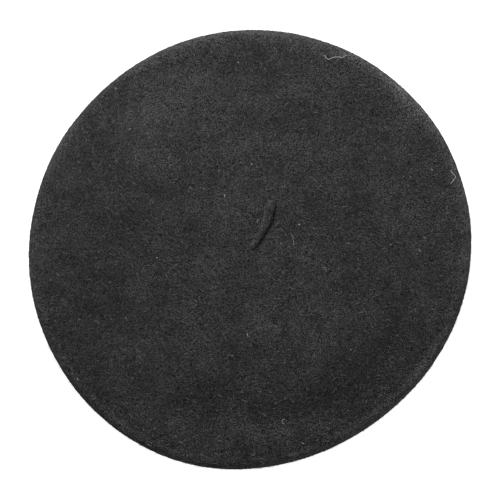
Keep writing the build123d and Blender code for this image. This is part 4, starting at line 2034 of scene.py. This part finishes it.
    def build_size_number(self) -> None:
        """Embroiders the head size on the face of the tab that is seen from below.

        Each digit is a path in a box of unit height, mirrored so that it reads from below.
        """
        turn = np.linspace(radians(140), radians(-150), 18)
        bowl = np.stack([0.24 + 0.30 * np.cos(turn), 0.31 + 0.30 * np.sin(turn)], -1)
        five = np.concatenate([[[0.52, 1.0], [0.30, 1.0], [0.08, 1.0], [0.05, 0.75], [0.02, 0.5]], bowl])
        seven = np.array([[0.0, 1.0], [0.28, 1.0], [0.56, 1.0], [0.44, 0.68], [0.32, 0.36], [0.22, 0.0]])
        face = self.tab_low[2] + 0.10 * MM
        paths = []
        for glyph, shift in ((five, -0.66), (seven, 0.12)):
            x = -(glyph[:, 0] + shift) * self.digit_height
            y = self.hinge[1] - 6.5 * MM + (glyph[:, 1] - 0.5) * self.digit_height
            paths.append(np.stack([x, y, np.full(len(x), face)], -1))
        mesh = tube_mesh("size_number", paths, [self.digit_radius] * 2, 8)
        lay(mesh, Slot.THREAD, Body.TAB, self.ink)

    def build(self) -> None:
        """Makes the label, its stitches, the tab and its number."""
        self.build_label()
        self.build_label_stitches()
        self.build_tab()
        self.build_size_number()


# ---- studio ----


@dataclass
class Studio:
    """A pale floor, soft light from behind and above, and a camera straight above the crown."""

    view_width: float = 318.3 * MM
    rim_height: float = 21.0 * MM
    distance: float = 1.6
    shift: tuple[float, float] = (0.52 * MM, -0.52 * MM)
    key_place: tuple[float, float, float] = (-0.22, 1.25, 0.95)
    key_power: float = 36.5
    key_size: float = 0.50
    fill_place: tuple[float, float, float] = (0.5, -0.9, 1.3)
    fill_power: float = 1.5
    fill_size: float = 1.2
    under_place: tuple[float, float, float] = (0.35, -0.3, -1.3)
    under_power: float = 30.0
    under_size: float = 1.4
    sky: float = 0.285
    floor_half: float = 3.0
    floor_height: float = -0.05 * MM
    glow: float = 0.9

    def light(self, name: str, place: tuple[float, float, float], power: float, size: float) -> None:
        """Adds a square soft light that faces the crown.

        Args:
            name: Its name.
            place: Where it stands.
            power: Its power, in watts.
            size: Its side.
        """
        data = bpy.data.lights.new(name, "AREA")
        data.energy, data.size = power, size
        lamp = bpy.data.objects.new(name, data)
        bpy.context.scene.collection.objects.link(lamp)
        lamp.location = place
        lamp.rotation_mode = "QUATERNION"
        lamp.rotation_quaternion = (-Vector(place)).to_track_quat("-Z", "Y")

    def build_camera(self) -> None:
        """Makes the camera, whose lens shows view_width at the height of the rim."""
        data = bpy.data.cameras.new("camera")
        data.sensor_width = 36.0
        data.lens = data.sensor_width * self.distance / self.view_width
        camera = bpy.data.objects.new("camera", data)
        camera.location = (*self.shift, self.rim_height + self.distance)
        bpy.context.scene.collection.objects.link(camera)
        bpy.context.scene.camera = camera

    def build_floor(self) -> None:
        """Makes the floor: a wide plane just under the band, white and slightly uneven in tone.

        It can be seen through from below, and the light below it shines through it onto the underside.
        """
        half, low = self.floor_half, self.floor_height
        corners = np.array([[-half, -half, low], [half, -half, low], [half, half, low], [-half, half, low]])
        mesh = bpy.data.meshes.new("floor")
        mesh.from_pydata(corners.tolist(), [], [(0, 1, 2, 3)])
        made, r, shader, place, _ = start_material("floor_paper")
        tone = r.ramp(r.noise(place, 0.4, 2.0), 0.3, 0.7)
        r.feed(shader.inputs["Base Color"], r.blend(tone, (0.48, 0.48, 0.48), (0.50, 0.50, 0.50)))
        r.fill(shader, Roughness=0.9, Specular_IOR_Level=0.1)
        ray = r.add("ShaderNodeLightPath")
        seen = r.sum("MULTIPLY", ray.outputs["Is Camera Ray"], self.glow)
        glow = r.add("ShaderNodeEmission", Strength=seen)
        bright = r.add("ShaderNodeAddShader")
        r.feed(bright.inputs[0], shader.outputs[0])
        r.feed(bright.inputs[1], glow.outputs[0])
        behind = r.add("ShaderNodeNewGeometry").outputs["Backfacing"]
        clear = r.add("ShaderNodeMixShader", Fac=r.sum("MAXIMUM", behind, ray.outputs["Is Shadow Ray"]))
        r.feed(clear.inputs[1], bright.outputs[0])
        r.feed(clear.inputs[2], r.add("ShaderNodeBsdfTransparent").outputs[0])
        r.feed(made.node_tree.nodes["Material Output"].inputs["Surface"], clear.outputs[0])
        mesh.materials.append(made)
        floor = bpy.data.objects.new("floor", mesh)
        bpy.context.scene.collection.objects.link(floor)

    def build(self) -> None:
        """Makes the camera, the floor, the lights and the sky."""
        self.build_camera()
        self.build_floor()
        self.light("key", self.key_place, self.key_power, self.key_size)
        self.light("fill", self.fill_place, self.fill_power, self.fill_size)
        self.light("under", self.under_place, self.under_power, self.under_size)
        world = bpy.data.worlds.new("sky")
        world.use_nodes = True
        background = world.node_tree.nodes["Background"]
        background.inputs["Color"].default_value = (1.0, 1.0, 1.0, 1.0)
        r = Recipe(world.node_tree)
        seen = r.add("ShaderNodeLightPath").outputs["Is Camera Ray"]
        r.feed(background.inputs["Strength"], r.sum("MULTIPLY_ADD", seen, 1.0 - self.sky, self.sky))
        bpy.context.scene.world = world
        bpy.context.scene.view_settings.view_transform = "Standard"


def main() -> None:
    """Builds the beret sub-assembly by sub-assembly, then the studio round it."""
    logging.basicConfig(level=logging.INFO, format="%(message)s")
    wall = Wall()
    tones = [
        StrandFinish("wool_pale", (0.260, 0.260, 0.262)).material(),
        StrandFinish("wool_light", (0.100, 0.100, 0.101)).material(),
        StrandFinish("wool_mid", (0.032, 0.032, 0.033)).material(),
        StrandFinish("wool_dark", (0.004, 0.004, 0.004)).material(),
    ]
    black_thread = ThreadFinish("black_thread", (0.035, 0.035, 0.037)).material()
    pale_thread = ThreadFinish("label_thread", (0.33, 0.31, 0.27)).material()
    navy_thread = ThreadFinish("number_thread", (0.012, 0.014, 0.030)).material()
    satin = ClothFinish(
        "black_satin",
        warp=(0.020, 0.020, 0.023),
        weft=(0.011, 0.011, 0.012),
        warp_pitch=0.22 * MM,
        weft_pitch=1.1 * MM,
        slant=0.4,
        roughness=0.30,
        sheen=0.25,
        bump=0.04 * MM,
    )
    tape = ClothFinish(
        "herringbone_tape",
        warp=(0.030, 0.030, 0.031),
        weft=(0.018, 0.018, 0.018),
        warp_pitch=0.4 * MM,
        weft_pitch=0.8 * MM,
        slant=1.0,
        roughness=0.7,
        sheen=0.2,
        bump=0.10 * MM,
    )
    ribbon = ClothFinish(
        "size_ribbon",
        warp=(0.45, 0.43, 0.38),
        weft=(0.34, 0.32, 0.28),
        warp_pitch=0.24 * MM,
        weft_pitch=0.30 * MM,
        slant=0.0,
        roughness=0.5,
        sheen=0.2,
        bump=0.07 * MM,
    )
    frame_line = (28 * MM, 18 * MM, 4.4 * MM, 0.9 * MM)
    damask = replace(ribbon, name="woven_label", border=(0.05, 0.05, 0.055), border_line=frame_line)
    felt = FeltBody(wall, FeltFinish("wool_felt"))
    felt.build()
    Wool(felt, Nap(), tones, StrandFinish("lint_pale", (0.48, 0.48, 0.47))).build()
    # Painted light: the stalk's felt is paler than the crown's so that its lit side stands out and its shaded
    # side looks less dark.
    stalk_finish = FeltFinish(
        "stalk_wool",
        dark=(0.012, 0.012, 0.012),
        pale=(0.085, 0.085, 0.0855),
        fleck_size=0.6 * MM,
        patch_share=0.1,
    )
    Stalk(stalk_finish, Nap(length=2.2 * MM, lift=0.10 * MM, stray=0.4 * MM), tones).build()
    sewing = Sewing()
    LeatherBand(wall, LeatherFinish("sheepskin"), black_thread, tape, sewing).build()
    lining = Lining(wall, satin, black_thread, sewing)
    lining.build()
    Labels(lining, damask, ribbon, pale_thread, navy_thread, sewing).build()
    Studio().build()


if __name__ == "__main__":
    main()
